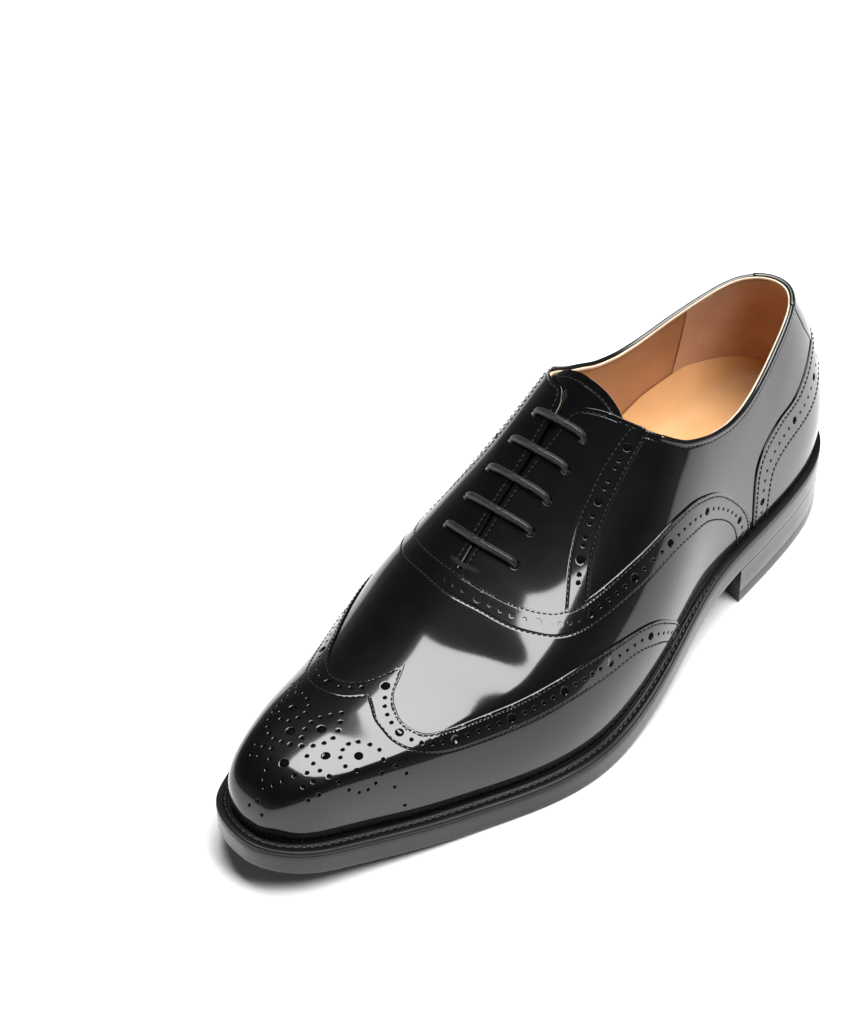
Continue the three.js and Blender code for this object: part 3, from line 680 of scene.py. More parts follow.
def thread(row, d, pitch, long, radius, sink=0.35, sides=6, shape=surf, slant=0.0):
    """Stitches along a row as rounded grains lying in the leather."""
    total = length_of(row)[-1]
    n = max(2, int(total / pitch))
    c = resample(row, n=n * 2 + 1)[1::2]
    fine = resample(row, n=n * 8 + 1)
    fp = shape(fine[:, 0], fine[:, 1], d)
    ft = unit(np.gradient(fp, axis=0))[4::8][:n]
    c = c[:n]
    _, _, nn = axes_at(c[:, 0], c[:, 1], d, shape)
    ctr = shape(c[:, 0], c[:, 1], d) + nn * radius * (1 - 2 * sink)
    side = unit(np.cross(nn, ft))
    if slant:
        ft = unit(ft + side * slant)
        side = unit(np.cross(nn, ft))
    rings = [(-1.0, 0.0), (-0.86, 0.62), (-0.45, 0.97), (0.45, 0.97), (0.86, 0.62), (1.0, 0.0)]
    ang = 2 * PI * np.arange(sides) / sides
    parts_v, faces = [], []
    per = 2 + 4 * sides
    for i in range(n):
        v = [ctr[i] + ft[i] * (rings[0][0] * long / 2)]
        for a, r in rings[1:5]:
            bend = -nn[i] * radius * 0.5 * a * a
            for q in ang:
                v.append(ctr[i] + ft[i] * (a * long / 2) + bend + side[i] * (math.cos(q) * r * radius)
                         + nn[i] * (math.sin(q) * r * radius))
        v.append(ctr[i] + ft[i] * (long / 2))
        v[0] = v[0] - nn[i] * radius * 0.5
        v[-1] = v[-1] - nn[i] * radius * 0.5
        parts_v += v
        b = i * per
        for q in range(sides):
            r = (q + 1) % sides
            faces.append((b, b + 1 + r, b + 1 + q))
            for k in range(3):
                o = b + 1 + k * sides
                faces.append((o + q, o + r, o + sides + r, o + sides + q))
            o = b + 1 + 3 * sides
            faces.append((o + q, o + r, b + per - 1))
    return np.array(parts_v), faces


def punch(row, repeat, start=0.0, large=LARGE_R, small=SMALL_R, end_gap=2.0, skip=()):
    """Perforations along a row: a large hole, then small ones, repeated."""
    u = length_of(row)
    out, k, pitch = [], 0, repeat[0]
    marks = []
    while start + k * pitch < u[-1] + pitch:
        base = start + k * pitch
        marks.append((base, large))
        marks += [(base + o, small) for o in repeat[1]]
        k += 1
    for at, r in marks:
        if r + end_gap * 0.5 <= at <= u[-1] - end_gap or (at == start == 0.0):
            out.append((float(np.interp(at, u, row[:, 0])), float(np.interp(at, u, row[:, 1])), r))
    return out


def punch_at(row, marks, pitch=22.2, end_gap=2.6, from_start=True):
    """Large holes at given places on a row, small ones shared out between."""
    fine = resample(row, 0.25)
    u = length_of(fine)
    pts = last(fine[:, 0], fine[:, 1])
    at = sorted(float(u[np.argmin(np.linalg.norm(pts - last(float(angle_of(s)), math.radians(f)), axis=1))])
                for s, f in marks)
    while at[-1] + pitch < u[-1] + 5.0:
        at.append(at[-1] + pitch)
    while from_start and at[0] - pitch > -5.0:
        at.insert(0, at[0] - pitch)
    spots = [(a, LARGE_R) for a in at]

    def between(a, b):
        n = max(1, int(round((b - a) / 4.44)) - 1)
        return [(a + 5.0 + (b - a - 10.0) * i / max(1, n - 1), SMALL_R) for i in range(n)]

    for a, b in zip(at, at[1:]):
        spots += between(a, b)
    spots += between(at[-1], at[-1] + pitch)
    if from_start:
        spots += between(at[0] - pitch, at[0])
    return [(float(np.interp(a, u, fine[:, 0])), float(np.interp(a, u, fine[:, 1])), r)
            for a, r in sorted(spots) if (0.8 if from_start else -0.1) <= a <= u[-1] - end_gap - (r > 1) * 0.8]


# ------------------------------------------------------------------ materials
def shader(name):
    m = bpy.data.materials.new(name)
    m.use_nodes = True
    nt = m.node_tree
    return m, nt, nt.nodes["Principled BSDF"]


def node(nt, kind, **values):
    n = nt.nodes.new(kind)
    for k, v in values.items():
        if hasattr(n, k):
            setattr(n, k, v)
        else:
            n.inputs[k.replace("_", " ")].default_value = v
    return n


def ramp(nt, source, stops):
    r = nt.nodes.new("ShaderNodeValToRGB")
    while len(r.color_ramp.elements) < len(stops):
        r.color_ramp.elements.new(0.5)
    for e, (at, c) in zip(r.color_ramp.elements, stops):
        e.position = at
        e.color = (*c, 1) if len(c) == 3 else c
    nt.links.new(source, r.inputs["Fac"])
    return r.outputs["Color"]


def noise(nt, coord, scale, detail=4.0, rough=0.55, stretch=None):
    n = nt.nodes.new("ShaderNodeTexNoise")
    n.inputs["Scale"].default_value = scale
    n.inputs["Detail"].default_value = detail
    n.inputs["Roughness"].default_value = rough
    if stretch:
        mp = nt.nodes.new("ShaderNodeMapping")
        mp.inputs["Scale"].default_value = stretch
        nt.links.new(coord, mp.inputs["Vector"])
        coord = mp.outputs["Vector"]
    nt.links.new(coord, n.inputs["Vector"])
    return n.outputs["Fac"]


def cells(nt, coord, scale, feature="F1"):
    n = nt.nodes.new("ShaderNodeTexVoronoi")
    n.feature = feature
    n.inputs["Scale"].default_value = scale
    nt.links.new(coord, n.inputs["Vector"])
    return n.outputs["Distance"]


def bump(nt, height, strength, distance, before=None):
    b = nt.nodes.new("ShaderNodeBump")
    b.inputs["Strength"].default_value = strength
    b.inputs["Distance"].default_value = distance
    nt.links.new(height, b.inputs["Height"])
    if before is not None:
        nt.links.new(before, b.inputs["Normal"])
    return b.outputs["Normal"]


def leather(name, dark, light, rough, grain=0.05, wave=0.06, coat=0.5, coat_rough=0.08, specular=0.5,
            grain_scale=1500.0, mottling=55.0):
    m, nt, b = shader(name)
    co = nt.nodes.new("ShaderNodeTexCoord").outputs["Object"]
    tone = noise(nt, co, mottling, 5.0, 0.6)
    nt.links.new(ramp(nt, tone, [(0.3, dark), (0.7, light)]), b.inputs["Base Color"])
    nt.links.new(ramp(nt, noise(nt, co, 140.0, 3.0), [(0.3, (rough[0],) * 3), (0.7, (rough[1],) * 3)]),
                 b.inputs["Roughness"])
    n1 = bump(nt, noise(nt, co, 38.0, 2.0), wave, 0.0011)
    n2 = bump(nt, cells(nt, co, grain_scale), grain, 0.00012, n1)
    n3 = bump(nt, noise(nt, co, grain_scale * 2.2, 2.0), grain * 0.8, 0.00008, n2)
    nt.links.new(n3, b.inputs["Normal"])
    b.inputs["Coat Weight"].default_value = coat
    b.inputs["Coat Roughness"].default_value = coat_rough
    b.inputs["Specular IOR Level"].default_value = specular
    return m


BLACK = leather("polished_black_leather", (0.0009, 0.0009, 0.0010), (0.0018, 0.0018, 0.0020), (0.3, 0.38),
                grain=0.03, wave=0.012, coat=1.0, coat_rough=0.07, specular=0.06)
BLACK_EDGE = leather("cut_black_edge", (0.0015, 0.0015, 0.0015), (0.0035, 0.0033, 0.003), (0.5, 0.62),
                     grain=0.1, wave=0.0, coat=0.0, specular=0.4)
# painted shade: near-black, matt finish for the discs in the punched holes, standing in for the shaded leather at the
# bottom of each hole
HOLE_SHADE = leather("hole_shadow", (0.001, 0.001, 0.001), (0.0025, 0.0024, 0.0023), (0.7, 0.8), grain=0.1, wave=0.0,
               coat=0.0, specular=0.04)
ROLL = leather("collar_leather", (0.0012, 0.0012, 0.0014), (0.0026, 0.0026, 0.0028), (0.3, 0.38),
               grain=0.08, wave=0.02, coat=0.7, coat_rough=0.13, specular=0.2, grain_scale=1900)
LINING = leather("lining_leather", (0.36, 0.17, 0.080), (0.48, 0.24, 0.120), (0.5, 0.6), grain=0.12, wave=0.16,
                 coat=0.06, coat_rough=0.3, specular=0.4, grain_scale=1300, mottling=36)
HEEL_LINING = leather("heel_lining_leather", (0.48, 0.275, 0.17), (0.59, 0.355, 0.23), (0.66, 0.78), grain=0.3,
                      wave=0.12, coat=0.0, specular=0.3, grain_scale=2300, mottling=48)
CREAM = leather("cream_cut_edge", (0.56, 0.41, 0.29), (0.78, 0.63, 0.48), (0.6, 0.75), grain=0.3, wave=0.0,
                coat=0.0, specular=0.3, grain_scale=2600)
SOCK = leather("sock_leather", (0.60, 0.33, 0.140), (0.69, 0.40, 0.185), (0.42, 0.52), grain=0.1, wave=0.1,
               coat=0.1, coat_rough=0.3, specular=0.4, grain_scale=1500, mottling=22)
SOLE = leather("burnished_sole_edge", (0.006, 0.0056, 0.0056), (0.012, 0.011, 0.011), (0.26, 0.34), grain=0.04,
               wave=0.06, coat=0.55, coat_rough=0.10, specular=0.15, grain_scale=1100)
BOTTOM = leather("sole_underside", (0.011, 0.01, 0.01), (0.02, 0.018, 0.017), (0.42, 0.56), grain=0.3, wave=0.2,
                 coat=0.0, specular=0.4, grain_scale=800)
WELT = leather("welt_leather", (0.0015, 0.0015, 0.0017), (0.0035, 0.0035, 0.0038), (0.42, 0.52), grain=0.22, wave=0.05,
               coat=0.12, coat_rough=0.25, specular=0.2, grain_scale=1200)


def thread_material(name, dark, light, rough):
    m, nt, b = shader(name)
    co = nt.nodes.new("ShaderNodeTexCoord").outputs["Object"]
    nt.links.new(ramp(nt, noise(nt, co, 700.0, 3.0), [(0.3, dark), (0.7, light)]), b.inputs["Base Color"])
    w = nt.nodes.new("ShaderNodeTexWave")
    w.inputs["Scale"].default_value = 900.0
    w.inputs["Distortion"].default_value = 1.5
    nt.links.new(co, w.inputs["Vector"])
    nt.links.new(bump(nt, w.outputs["Fac"], 0.35, 0.00006), b.inputs["Normal"])
    b.inputs["Roughness"].default_value = rough
    b.inputs["Specular IOR Level"].default_value = 0.3
    b.inputs["Sheen Weight"].default_value = 0.01
    return m


THREAD = thread_material("waxed_thread", (0.003, 0.003, 0.0033), (0.008, 0.008, 0.0086), 0.5)
WELT_THREAD = thread_material("welt_thread", (0.003, 0.003, 0.003), (0.009, 0.0088, 0.0085), 0.42)


def lace_material():
    m, nt, b = shader("waxed_lace")
    uv = nt.nodes.new("ShaderNodeUVMap")
    uv.uv_map = "braid"
    co = uv.outputs["UV"]
    heights = []
    for turn in (0.8, -0.8):
        mp = nt.nodes.new("ShaderNodeMapping")
        mp.inputs["Rotation"].default_value = (0, 0, turn)
        nt.links.new(co, mp.inputs["Vector"])
        w = nt.nodes.new("ShaderNodeTexWave")
        w.inputs["Scale"].default_value = 1.15
        w.inputs["Distortion"].default_value = 0.25
        nt.links.new(mp.outputs["Vector"], w.inputs["Vector"])
        heights.append(w.outputs["Fac"])
    mul = nt.nodes.new("ShaderNodeMath")
    mul.operation = "MAXIMUM"
    nt.links.new(heights[0], mul.inputs[0])
    nt.links.new(heights[1], mul.inputs[1])
    obj = nt.nodes.new("ShaderNodeTexCoord").outputs["Object"]
    # painted shade: the lace's colour follows the braid's height, darker in the hollows between the strands than on
    # their tops
    nt.links.new(ramp(nt, mul.outputs[0], [(0.2, (0.0012, 0.0012, 0.0015)), (0.9, (0.0045, 0.0045, 0.005))]),
                 b.inputs["Base Color"])
    n1 = bump(nt, mul.outputs[0], 0.8, 0.0003)
    nt.links.new(bump(nt, noise(nt, obj, 1500.0, 3.0), 0.7, 0.00022, n1), b.inputs["Normal"])
    b.inputs["Roughness"].default_value = 0.34
    b.inputs["Specular IOR Level"].default_value = 0.4
    b.inputs["Coat Weight"].default_value = 0.35
    b.inputs["Coat Roughness"].default_value = 0.22
    return m


LACE = lace_material()

# ------------------------------------------------------------------ panel lines
wing_outer, wing_outer_low = line(WING_OUTER), line(WING_OUTER_LOW)
wing_inner, wing_inner_low = line(WING_INNER), line(WING_INNER_LOW)
vamp_edge, vamp_low = line(VAMP_EDGE), line(VAMP_LOW)
vamp_edge_in, vamp_low_in = mirrored(vamp_edge), mirrored(vamp_low)
face_a, face_b = line(FACING_ROW_A), line(FACING_ROW_B)
counter_edge, counter_low = line(COUNTER_EDGE), line(COUNTER_LOW)


def feather_line(side, s_from, s_to, step=1.6):
    phi = 0.0 if side > 0 else PI
    t = np.linspace(float(angle_of(s_from)), float(angle_of(s_to)), 200)
    return resample(np.stack([t, np.full(200, phi)], 1), step)


def back_seam(phi0, phi1, step=1.6):
    p = np.linspace(phi0, phi1, 60)
    return resample(np.stack([np.zeros(60), p], 1), step)


# ---- collar and slit
COLLAR_FRONT = 118.0
collar_out, collar_in = collar_line(1, COLLAR_FRONT), collar_line(-1, COLLAR_FRONT)
# both sides meet at one height on the back seam
top_phi = (collar_out[0, 1] + (PI - collar_in[0, 1])) / 2
collar_out[0, 1], collar_in[0, 1] = top_phi, PI - top_phi


def throat(side, extra=0.0, top_s=126.5):
    """Edge of one facing from the collar round its corner and down the slit."""
    if side > 0:
        corner = [(120.2, 76.6), (121.9, 80.6), (123.6, 84.0)]
    else:
        corner = [(120.0, 103.6), (120.8, 99.4), (121.9, 96.2)]
    sl = slit_line(side, top_s, SLIT_END, extra)
    pts = [tuple(x) for x in zip(station_of(sl[:, 0]), np.degrees(sl[:, 1]))]
    start = collar_out[-1] if side > 0 else collar_in[-1]
    rows = [(float(station_of(start[0])), math.degrees(start[1]))] + corner + pts[::6] + [pts[-1]]
    c = np.stack([angle_of(col(rows, 0)), np.radians(col(rows, 1))], 1)
    u = length_of(c)
    v = np.linspace(0, u[-1], 400)
    c = np.stack([spline(u, c[:, 0])(v), spline(u, c[:, 1])(v)], 1)
    return resample(c, 1.3)


throat_out, throat_in = throat(1), throat(-1)
back_off = lambda s: 1.4 * smoothstep(s, 126.0, 134.0)
lin_throat_out, lin_throat_in = throat(1, back_off), throat(-1, back_off)


def lowered(c, dist, side):
    """A line moved down from the collar or back from the slit, in mm."""
    p = last(c[:, 0], c[:, 1])
    _, _, n = axes_at(c[:, 0], c[:, 1])
    v = unit(np.cross(n, unit(np.gradient(p, axis=0)))) * -dist * side
    t, phi = shift(c[:, 0], c[:, 1], v)
    return np.stack([t, phi], 1)


eyelets = []
for sm, pm, sl_, pl in BARS:
    eyelets.append((float(angle_of(sm)), math.radians(pm), 1.75))
    eyelets.append((float(angle_of(sl_)), math.radians(pl), 1.75))

# ---- quarters
under_vamp = mix(vamp_edge, vamp_low, 1.1)
under_vamp_in = mirrored(under_vamp)
foot_s = float(station_of(under_vamp[-1, 0]))
quarter_outline = join(
    back_seam(top_phi, 0.0), feather_line(1, S0, foot_s), under_vamp[::-1], under_vamp_in[1:],
    feather_line(-1, foot_s, S0), back_seam(PI, PI - top_phi),
    collar_in, throat_in, throat_out[::-1], collar_out[::-1][:-1])
QUARTER_STITCH = [lowered(resample(collar_out, 1.3), 2.6, -1), lowered(resample(collar_in, 1.3), 2.6, 1)]
quarter = sheet("quarters", quarter_outline, QUARTER_D, QUARTER_D - SKIN, [BLACK, BLACK_EDGE], holes=eyelets,
                grooves=QUARTER_STITCH, wall_mat=0, spacing=2.5)
adopt(quarter, "upper_leather", "upper")

# ---- facings
edge_b = mix(face_a, face_b, 1.16)
edge_b_in = mirrored(edge_b)


def clip_to_collar(c, drop, side):
    """Start of a line where it passes the collar, kept a little under it."""
    x, s, z = last_xsz(c[:, 0], c[:, 1])
    k = 1 if side > 0 else 2
    return c[z < np.interp(s, col(COLLAR, 0), col(COLLAR, k)) - drop]


top_drop = 0.25
edge_b, edge_b_in = clip_to_collar(edge_b, top_drop, 1), clip_to_collar(edge_b_in, top_drop, -1)
row_a, row_b = clip_to_collar(face_a, 2.2, 1), clip_to_collar(face_b, 2.2, 1)
row_a_in, row_b_in = clip_to_collar(mirrored(face_a), 2.2, -1), clip_to_collar(mirrored(face_b), 2.2, -1)


def collar_part(c, t_from):
    return c[c[:, 0] > t_from + 1e-4]


low_mid = mix(vamp_edge, vamp_low, 0.85)
low_mid = low_mid[low_mid[:, 1] > edge_b[-1, 1] + 0.02]
low_mid_in = mirrored(low_mid)
facing_outline = join(
    edge_b, low_mid[::-1], low_mid_in[1:], edge_b_in[::-1], collar_part(collar_in, edge_b_in[0, 0]),
    throat_in, throat_out[::-1], collar_part(collar_out, edge_b[0, 0])[::-1])
slit_rows = []
for th, sg in ((throat_out, 1), (throat_in, -1)):
    slit_rows.append(lowered(th, 1.9, -sg))
top_rows = [lowered(collar_part(collar_out, edge_b[0, 0]), 1.9, -1),
            lowered(collar_part(collar_in, edge_b_in[0, 0]), 1.9, 1)]
face_mid, face_mid_in = mix(row_a, row_b, 0.5), mix(row_a_in, row_b_in, 0.5)


def shown_over_vamp(c, w=-0.02):
    """The part of a line that lies behind the vamp's edge."""
    e = mix(vamp_edge, vamp_low, w)
    phi = np.minimum(c[:, 1], PI - c[:, 1])
    order = np.argsort(e[:, 1])
    front = np.interp(phi, e[order, 1], e[order, 0])
    return c[c[:, 0] < front]


face_holes = punch(shown_over_vamp(face_mid, 0.02), FACING_REPEAT, start=6.8)
face_holes += punch(shown_over_vamp(face_mid_in, 0.02), FACING_REPEAT, start=6.8)
facing = sheet("facings", facing_outline, FACING_D, FACING_D - SKIN, [BLACK, BLACK_EDGE],
               holes=eyelets + face_holes, grooves=[row_a, row_b, row_a_in, row_b_in] + slit_rows, spacing=2.3)
adopt(facing, "upper_leather", "upper")

# ---- vamp
vamp_outline = join(
    feather_line(1, float(station_of(vamp_edge[-1, 0])), 298.1), np.array([[PI, PI / 2]]),
    feather_line(-1, 298.1, float(station_of(vamp_edge[-1, 0]))), vamp_edge_in[::-1], vamp_edge[1:-1])
vamp_row1, vamp_row1_in = mix(vamp_edge, vamp_low, 0.14), None
vamp_row1_in = mirrored(vamp_row1)
vamp_mid = mix(vamp_edge, vamp_low, 0.56)
vamp_mid_in = mirrored(vamp_mid)
VAMP_LARGE = [(191.3, 78.3), (183.1, 56.6), (164.8, 44.4), (142.8, 38.6), (123.5, 33.5), (98.9, 21.6), (75.6, 6.4)]
vamp_side = [h for h in punch_at(vamp_mid, VAMP_LARGE, end_gap=1.2) if abs(h[1] - PI / 2) > math.radians(8.5)]
vamp_holes = vamp_side + [(a, PI - b, r) for a, b, r in vamp_side]
# the two halves' first holes: fill the front of the band
vamp_front = join(vamp_mid_in[::-1], vamp_mid[1:])
u_front = length_of(vamp_front)
mid_at = length_of(vamp_mid_in)[-1]
for off in (-6.15, -2.05, 2.05, 6.15):
    vamp_holes.append((float(np.interp(mid_at + off, u_front, vamp_front[:, 0])),
                       float(np.interp(mid_at + off, u_front, vamp_front[:, 1])), SMALL_R))
vamp = sheet("vamp", vamp_outline, VAMP_D, VAMP_D - SKIN, [BLACK, BLACK_EDGE], holes=vamp_holes,
             grooves=[vamp_row1, vamp_row1_in, vamp_low, vamp_low_in], spacing=2.5)
adopt(vamp, "upper_leather", "upper")

# ---- winged cap
cap_outline = join(
    feather_line(1, float(station_of(wing_outer[-1, 0])), 298.1), np.array([[PI, PI / 2]]),
    feather_line(-1, 298.1, float(station_of(wing_inner[-1, 0]))), wing_inner[::-1], wing_outer[1:-1])
wing_row1, wing_row1_in = mix(wing_outer, wing_outer_low, 0.13)[1:], mix(wing_inner, wing_inner_low, 0.13)[1:]
wing_mid, wing_mid_in = mix(wing_outer, wing_outer_low, 0.53), mix(wing_inner, wing_inner_low, 0.53)
cap_holes = punch_at(wing_mid, [(235.3, 87.7), (246.3, 59.2), (230.4, 36.8)], end_gap=2.0)
cap_holes += [h for h in punch_at(wing_mid_in, [(246.9, 111.8)], end_gap=2.0)
              if abs(h[1] - PI / 2) > math.radians(3.4)]


def on_cap(s, across):
    """Place of a medallion hole: station and distance from its axis."""
    x = 0.5 + 0.1 * abs(across) + across
    t = angle_of(np.array([s]))
    phi = solve_phi(t, x, 0, 0.12, PI - 0.12)
    return float(t[0]), float(phi[0])


for rows, r in ((MEDALLION_LARGE, LARGE_R), (MEDALLION_SMALL, SMALL_R)):
    for s, a in rows:
        for sg in ((1, -1) if a else (1,)):
            cap_holes.append((*on_cap(s, sg * a), r))
cap = sheet("wing_cap_leather", cap_outline, CAP_D, CAP_D - SKIN, [BLACK, BLACK_EDGE], holes=cap_holes,
            grooves=[wing_row1, wing_row1_in, wing_outer_low, wing_inner_low], spacing=2.0)
adopt(cap, "upper_leather", "wing_cap")

# ---- heel counter
seam_phi = float(np.interp(0, counter_edge[:, 0], counter_edge[:, 1]))


def level_start(c):
    """Start on the back seam at the height of a line's first point."""
    z = last_xsz(c[:1, 0], c[:1, 1])[2] + 0.15
    phi = np.linspace(0.1, 1.2, 800)
    return np.array([[0.0, float(np.interp(z[0], last_xsz(np.zeros(800), phi)[2], phi))]])


counter_start = level_start(counter_edge)
counter_full = resample(np.concatenate([counter_start, counter_edge]), 1.3)
low_start = level_start(counter_low)
counter_low_full = resample(np.concatenate([low_start, counter_low]), 1.3)
counter_front = float(station_of(counter_full[-1, 0]))
counter_outline = join(
    back_seam(counter_full[0, 1], 0.0), feather_line(1, S0, counter_front), counter_full[::-1][:-1])
c_phi = counter_full[0, 1]
counter_outline = join(
    back_seam(c_phi, 0.0), feather_line(1, S0, counter_front), counter_full[::-1][:-1])
counter_row1 = mix(counter_full, counter_low_full, 0.15)
counter_mid = mix(counter_full, counter_low_full, 0.56)
counter_holes = punch_at(counter_mid, [(35.8, 17.0), (58.4, 4.7)], end_gap=1.4)


def both_sides(outline):
    """Gives back the outline unchanged."""
    return outline


# the counter wraps the heel: one loop down the seam, round each side
outer = join(feather_line(1, S0, counter_front), counter_full[::-1])
inner = mirrored(outer)
counter_parts = []
for sg, loop_, holes_, rows_ in (
        (1, join(back_seam(c_phi, 0.0), outer[1:-1]), counter_holes, [counter_row1, counter_low_full]),
        (-1, join(back_seam(PI - c_phi, PI), inner[1:-1]),
         [(a, PI - b, r) for a, b, r in counter_holes], [mirrored(counter_row1), mirrored(counter_low_full)])):
    counter_parts.append(sheet("heel_counter_outer" if sg > 0 else "heel_counter_inner", loop_, COUNTER_D,
                               COUNTER_D - SKIN, [BLACK, BLACK_EDGE], holes=holes_, grooves=rows_, spacing=2.2))
for part in counter_parts:
    adopt(part, "upper_leather", "heel_counter")

# ---- lining
lining_drop = 0.9
lin_out, lin_in = collar_line(1, COLLAR_FRONT, lining_drop), collar_line(-1, COLLAR_FRONT, lining_drop)
lt = (lin_out[0, 1] + (PI - lin_in[0, 1])) / 2
lin_out[0, 1], lin_in[0, 1] = lt, PI - lt
lining_outline = join(
    back_seam(lt, 0.0), feather_line(1, S0, 298.1), np.array([[PI, PI / 2]]),
    feather_line(-1, 298.1, S0), back_seam(PI, PI - lt), lin_in, lin_throat_in[2:], lin_throat_out[::-1][:-2],
    lin_out[::-1][:-1])
lining = sheet("lining", lining_outline, LINING_D, LINING_IN, [BLACK_EDGE, LINING, CREAM], holes=eyelets,
               spacing=3.0, drop=0.05, wall_mat=2, bottom_mat=1)
adopt(lining, "lining_leather", "upper")

# ---- heel lining patch
patch_front = 41.0


def heel_patch(side):
    c = lin_out if side > 0 else lin_in
    low = lowered(resample(c, 1.6), 0.9, -side)
    low = low[(low[:, 0] < angle_of(patch_front)) & (low[:, 0] > 0)]
    s = np.linspace(patch_front + 6, patch_front - 1.5, 20)
    edge = np.stack([angle_of(s), np.linspace(0.05, float(low[-1, 1] if side > 0 else PI - low[-1, 1]), 20)], 1)
    if side < 0:
        edge[:, 1] = PI - edge[:, 1]
    t0 = 0.0
    phi_top = float(low[0, 1])
    seam = back_seam(phi_top, 0.05 if side > 0 else PI - 0.05)
    foot = np.stack([np.linspace(0, edge[0, 0], 60), np.full(60, edge[0, 1])], 1)
    return join(seam, resample(foot, 1.6)[1:], resample(edge, 1.6), low[::-1][1:])


for sg in (1, -1):
    patch = sheet("heel_lining_outer" if sg > 0 else "heel_lining_inner", heel_patch(sg), LINING_IN - 0.02,
                  LINING_IN - 0.5, [HEEL_LINING], spacing=2.6, drop=0.02, shape=last, under=last)
    adopt(patch, "lining_leather", "upper")


# ---- collar roll and the lining's cut edge
def swept_edge(c, d_mid, lift, half_n, half_b, power=2.3, sides=16, shape=surf):
    p = shape(c[:, 0], c[:, 1], d_mid)
    _, _, n = axes_at(c[:, 0], c[:, 1], d_mid, shape)
    tan = unit(np.gradient(p, axis=0))
    up = unit(np.cross(tan, n))
    up = np.where(up[:, 2:3] < 0, -up, up)
    return tube(p + up * lift, n, up, half_n, half_b, sides, power)


def collar_run(front, drop=0.0):
    a, b = collar_line(1, front, drop), collar_line(-1, front, drop)
    t = (a[0, 1] + (PI - b[0, 1])) / 2
    a[0, 1] = t
    return a[::-1][:-1], b, t


run_a, run_b, _ = collar_run(109.2, 0.6)
# in space the outer and inner runs meet at the back seam


def run_frames(a, b, d_mid, lift, half_n, half_b, **kw):
    pa, pb = surf(a[:, 0], a[:, 1], d_mid), surf(b[:, 0], b[:, 1], d_mid)
    _, _, na = axes_at(a[:, 0], a[:, 1], d_mid, surf)
    _, _, nb = axes_at(b[:, 0], b[:, 1], d_mid, surf)
    p, n = np.concatenate([pa, pb]), np.concatenate([na, nb])
    # even out the turn at the back
    for _ in range(6):
        p[1:-1] = p[1:-1] * 0.5 + (p[:-2] + p[2:]) * 0.25
        n[1:-1] = unit(n[1:-1] * 0.5 + (n[:-2] + n[2:]) * 0.25)
    tan = unit(np.gradient(p, axis=0))
    n = unit(n - tan * (n * tan).sum(1, keepdims=True))
    up = unit(np.cross(tan, n))
    up = np.where(up[:, 2:3] < 0, -up, up)
    return p, n, up, tube(p + up * lift, n, up, half_n, half_b, **kw)


_, _, _, roll = run_frames(run_a, run_b, -1.3, -0.35, 1.05, 1.25, sides=18, power=2.4)
roll_ob = new_object("collar_roll", *roll, mats=[ROLL])
adopt(roll_ob, "upper_leather", "upper")
# folded tab over the roll at the back
near_a = run_a[length_of(run_a[::-1])[::-1] < 12.6]
near_b = run_b[length_of(run_b) < 12.6]
_, _, _, tab = run_frames(near_a, near_b, -1.28, -0.38, 1.3, 1.62, sides=18, power=2.6)
tab_ob = new_object("back_tab", *tab, mats=[ROLL])
adopt(tab_ob, "upper_leather", "upper")


def back_strip(side):
    """Outline of half the strip from the collar down to the counter."""
    phi = np.linspace(float(top_phi) - 0.012, math.radians(29.0), 40)
    z = last_xsz(np.zeros(40), phi)[2]
    wide = np.interp(z, [64, 72, 84, 92, 97, 101], [15.5, 15.4, 16.8, 15.2, 13.4, 12.0])
    tt = np.linspace(0, 0.6, 120)
    edge = []
    for f, w_ in zip(phi, wide):
        u = length_of(np.stack([tt, np.full(120, f)], 1))
        edge.append((float(np.interp(w_, u, tt)), f))
    edge = np.array(edge)
    # the collar falls a little to the front
    k = 1 if side > 0 else 2
    x, st, zz = last_xsz(edge[:, 0], edge[:, 1])
    top = np.interp(st, col(COLLAR, 0), col(COLLAR, k)) - 0.6
    edge = edge[zz < top]
    start = np.array([[0.0, edge[0, 1]]])
    c = join(resample(np.stack([np.zeros(40), phi[::-1][:40]], 1), 1.6)[::-1], resample(
        np.array([[0.0, phi[-1]], edge[-1]]), 1.6), resample(edge[::-1], 1.6), resample(
        np.array([edge[0], [0.0, phi[0]]]), 1.6))[:-1]
    return c if side > 0 else mirrored(c)


strip_edge = {}
for sg in (1, -1):
    o = back_strip(sg)
    strip = sheet("back_strip_outer" if sg > 0 else "back_strip_inner", o, -0.4, -0.85, [BLACK, BLACK_EDGE],
                  spacing=2.3)
    adopt(strip, "upper_leather", "upper")
    e = o[o[:, 0] > 0.12]
    strip_edge[sg] = e

edge_a, edge_b2, _ = collar_run(116.5, 0.9)
_, _, _, cream = run_frames(edge_a, edge_b2, -2.72, 0.42, 0.42, 0.75, sides=10, power=2.6)
cream_ob = new_object("lining_edge", *cream, mats=[CREAM])
adopt(cream_ob, "lining_leather", "upper")


# ---- tongue
def tongue_outline():
    u = np.linspace(0, 1, 60)
    s = 113.5 + (190 - 113.5) * u
    half = 27 - 7 * u
    left = np.stack([angle_of(s + 5 * (1 - u) ** 8), np.radians(90 - half)], 1)
    v = np.linspace(-1, 1, 40)
    top = np.stack([angle_of(113.5 + 5 * v ** 4), np.radians(90 + v * 27)], 1)
    bottom = np.stack([np.full(30, angle_of(190.0)), np.radians(90 + np.linspace(-1, 1, 30) * 20)], 1)
    return join(resample(left, 1.5)[:-1], resample(bottom, 1.5)[:-1], resample(mirrored(left)[::-1], 1.5)[:-1],
                resample(top[::-1], 1.5)[:-1])


v_ = np.linspace(-0.93, 0.93, 40)
tongue_row = resample(np.stack([angle_of(116.2 + 5 * v_ ** 4), np.radians(90 + v_ * 27)], 1), 1.3)
tongue = sheet("tongue_leather", tongue_outline(), TONGUE_D, TONGUE_IN, [BLACK, BLACK_EDGE, LINING],
               grooves=[tongue_row], wall_mat=1, bottom_mat=2, spacing=2.6, shape=last, under=last)
adopt(tongue, "upper_leather", "tongue")


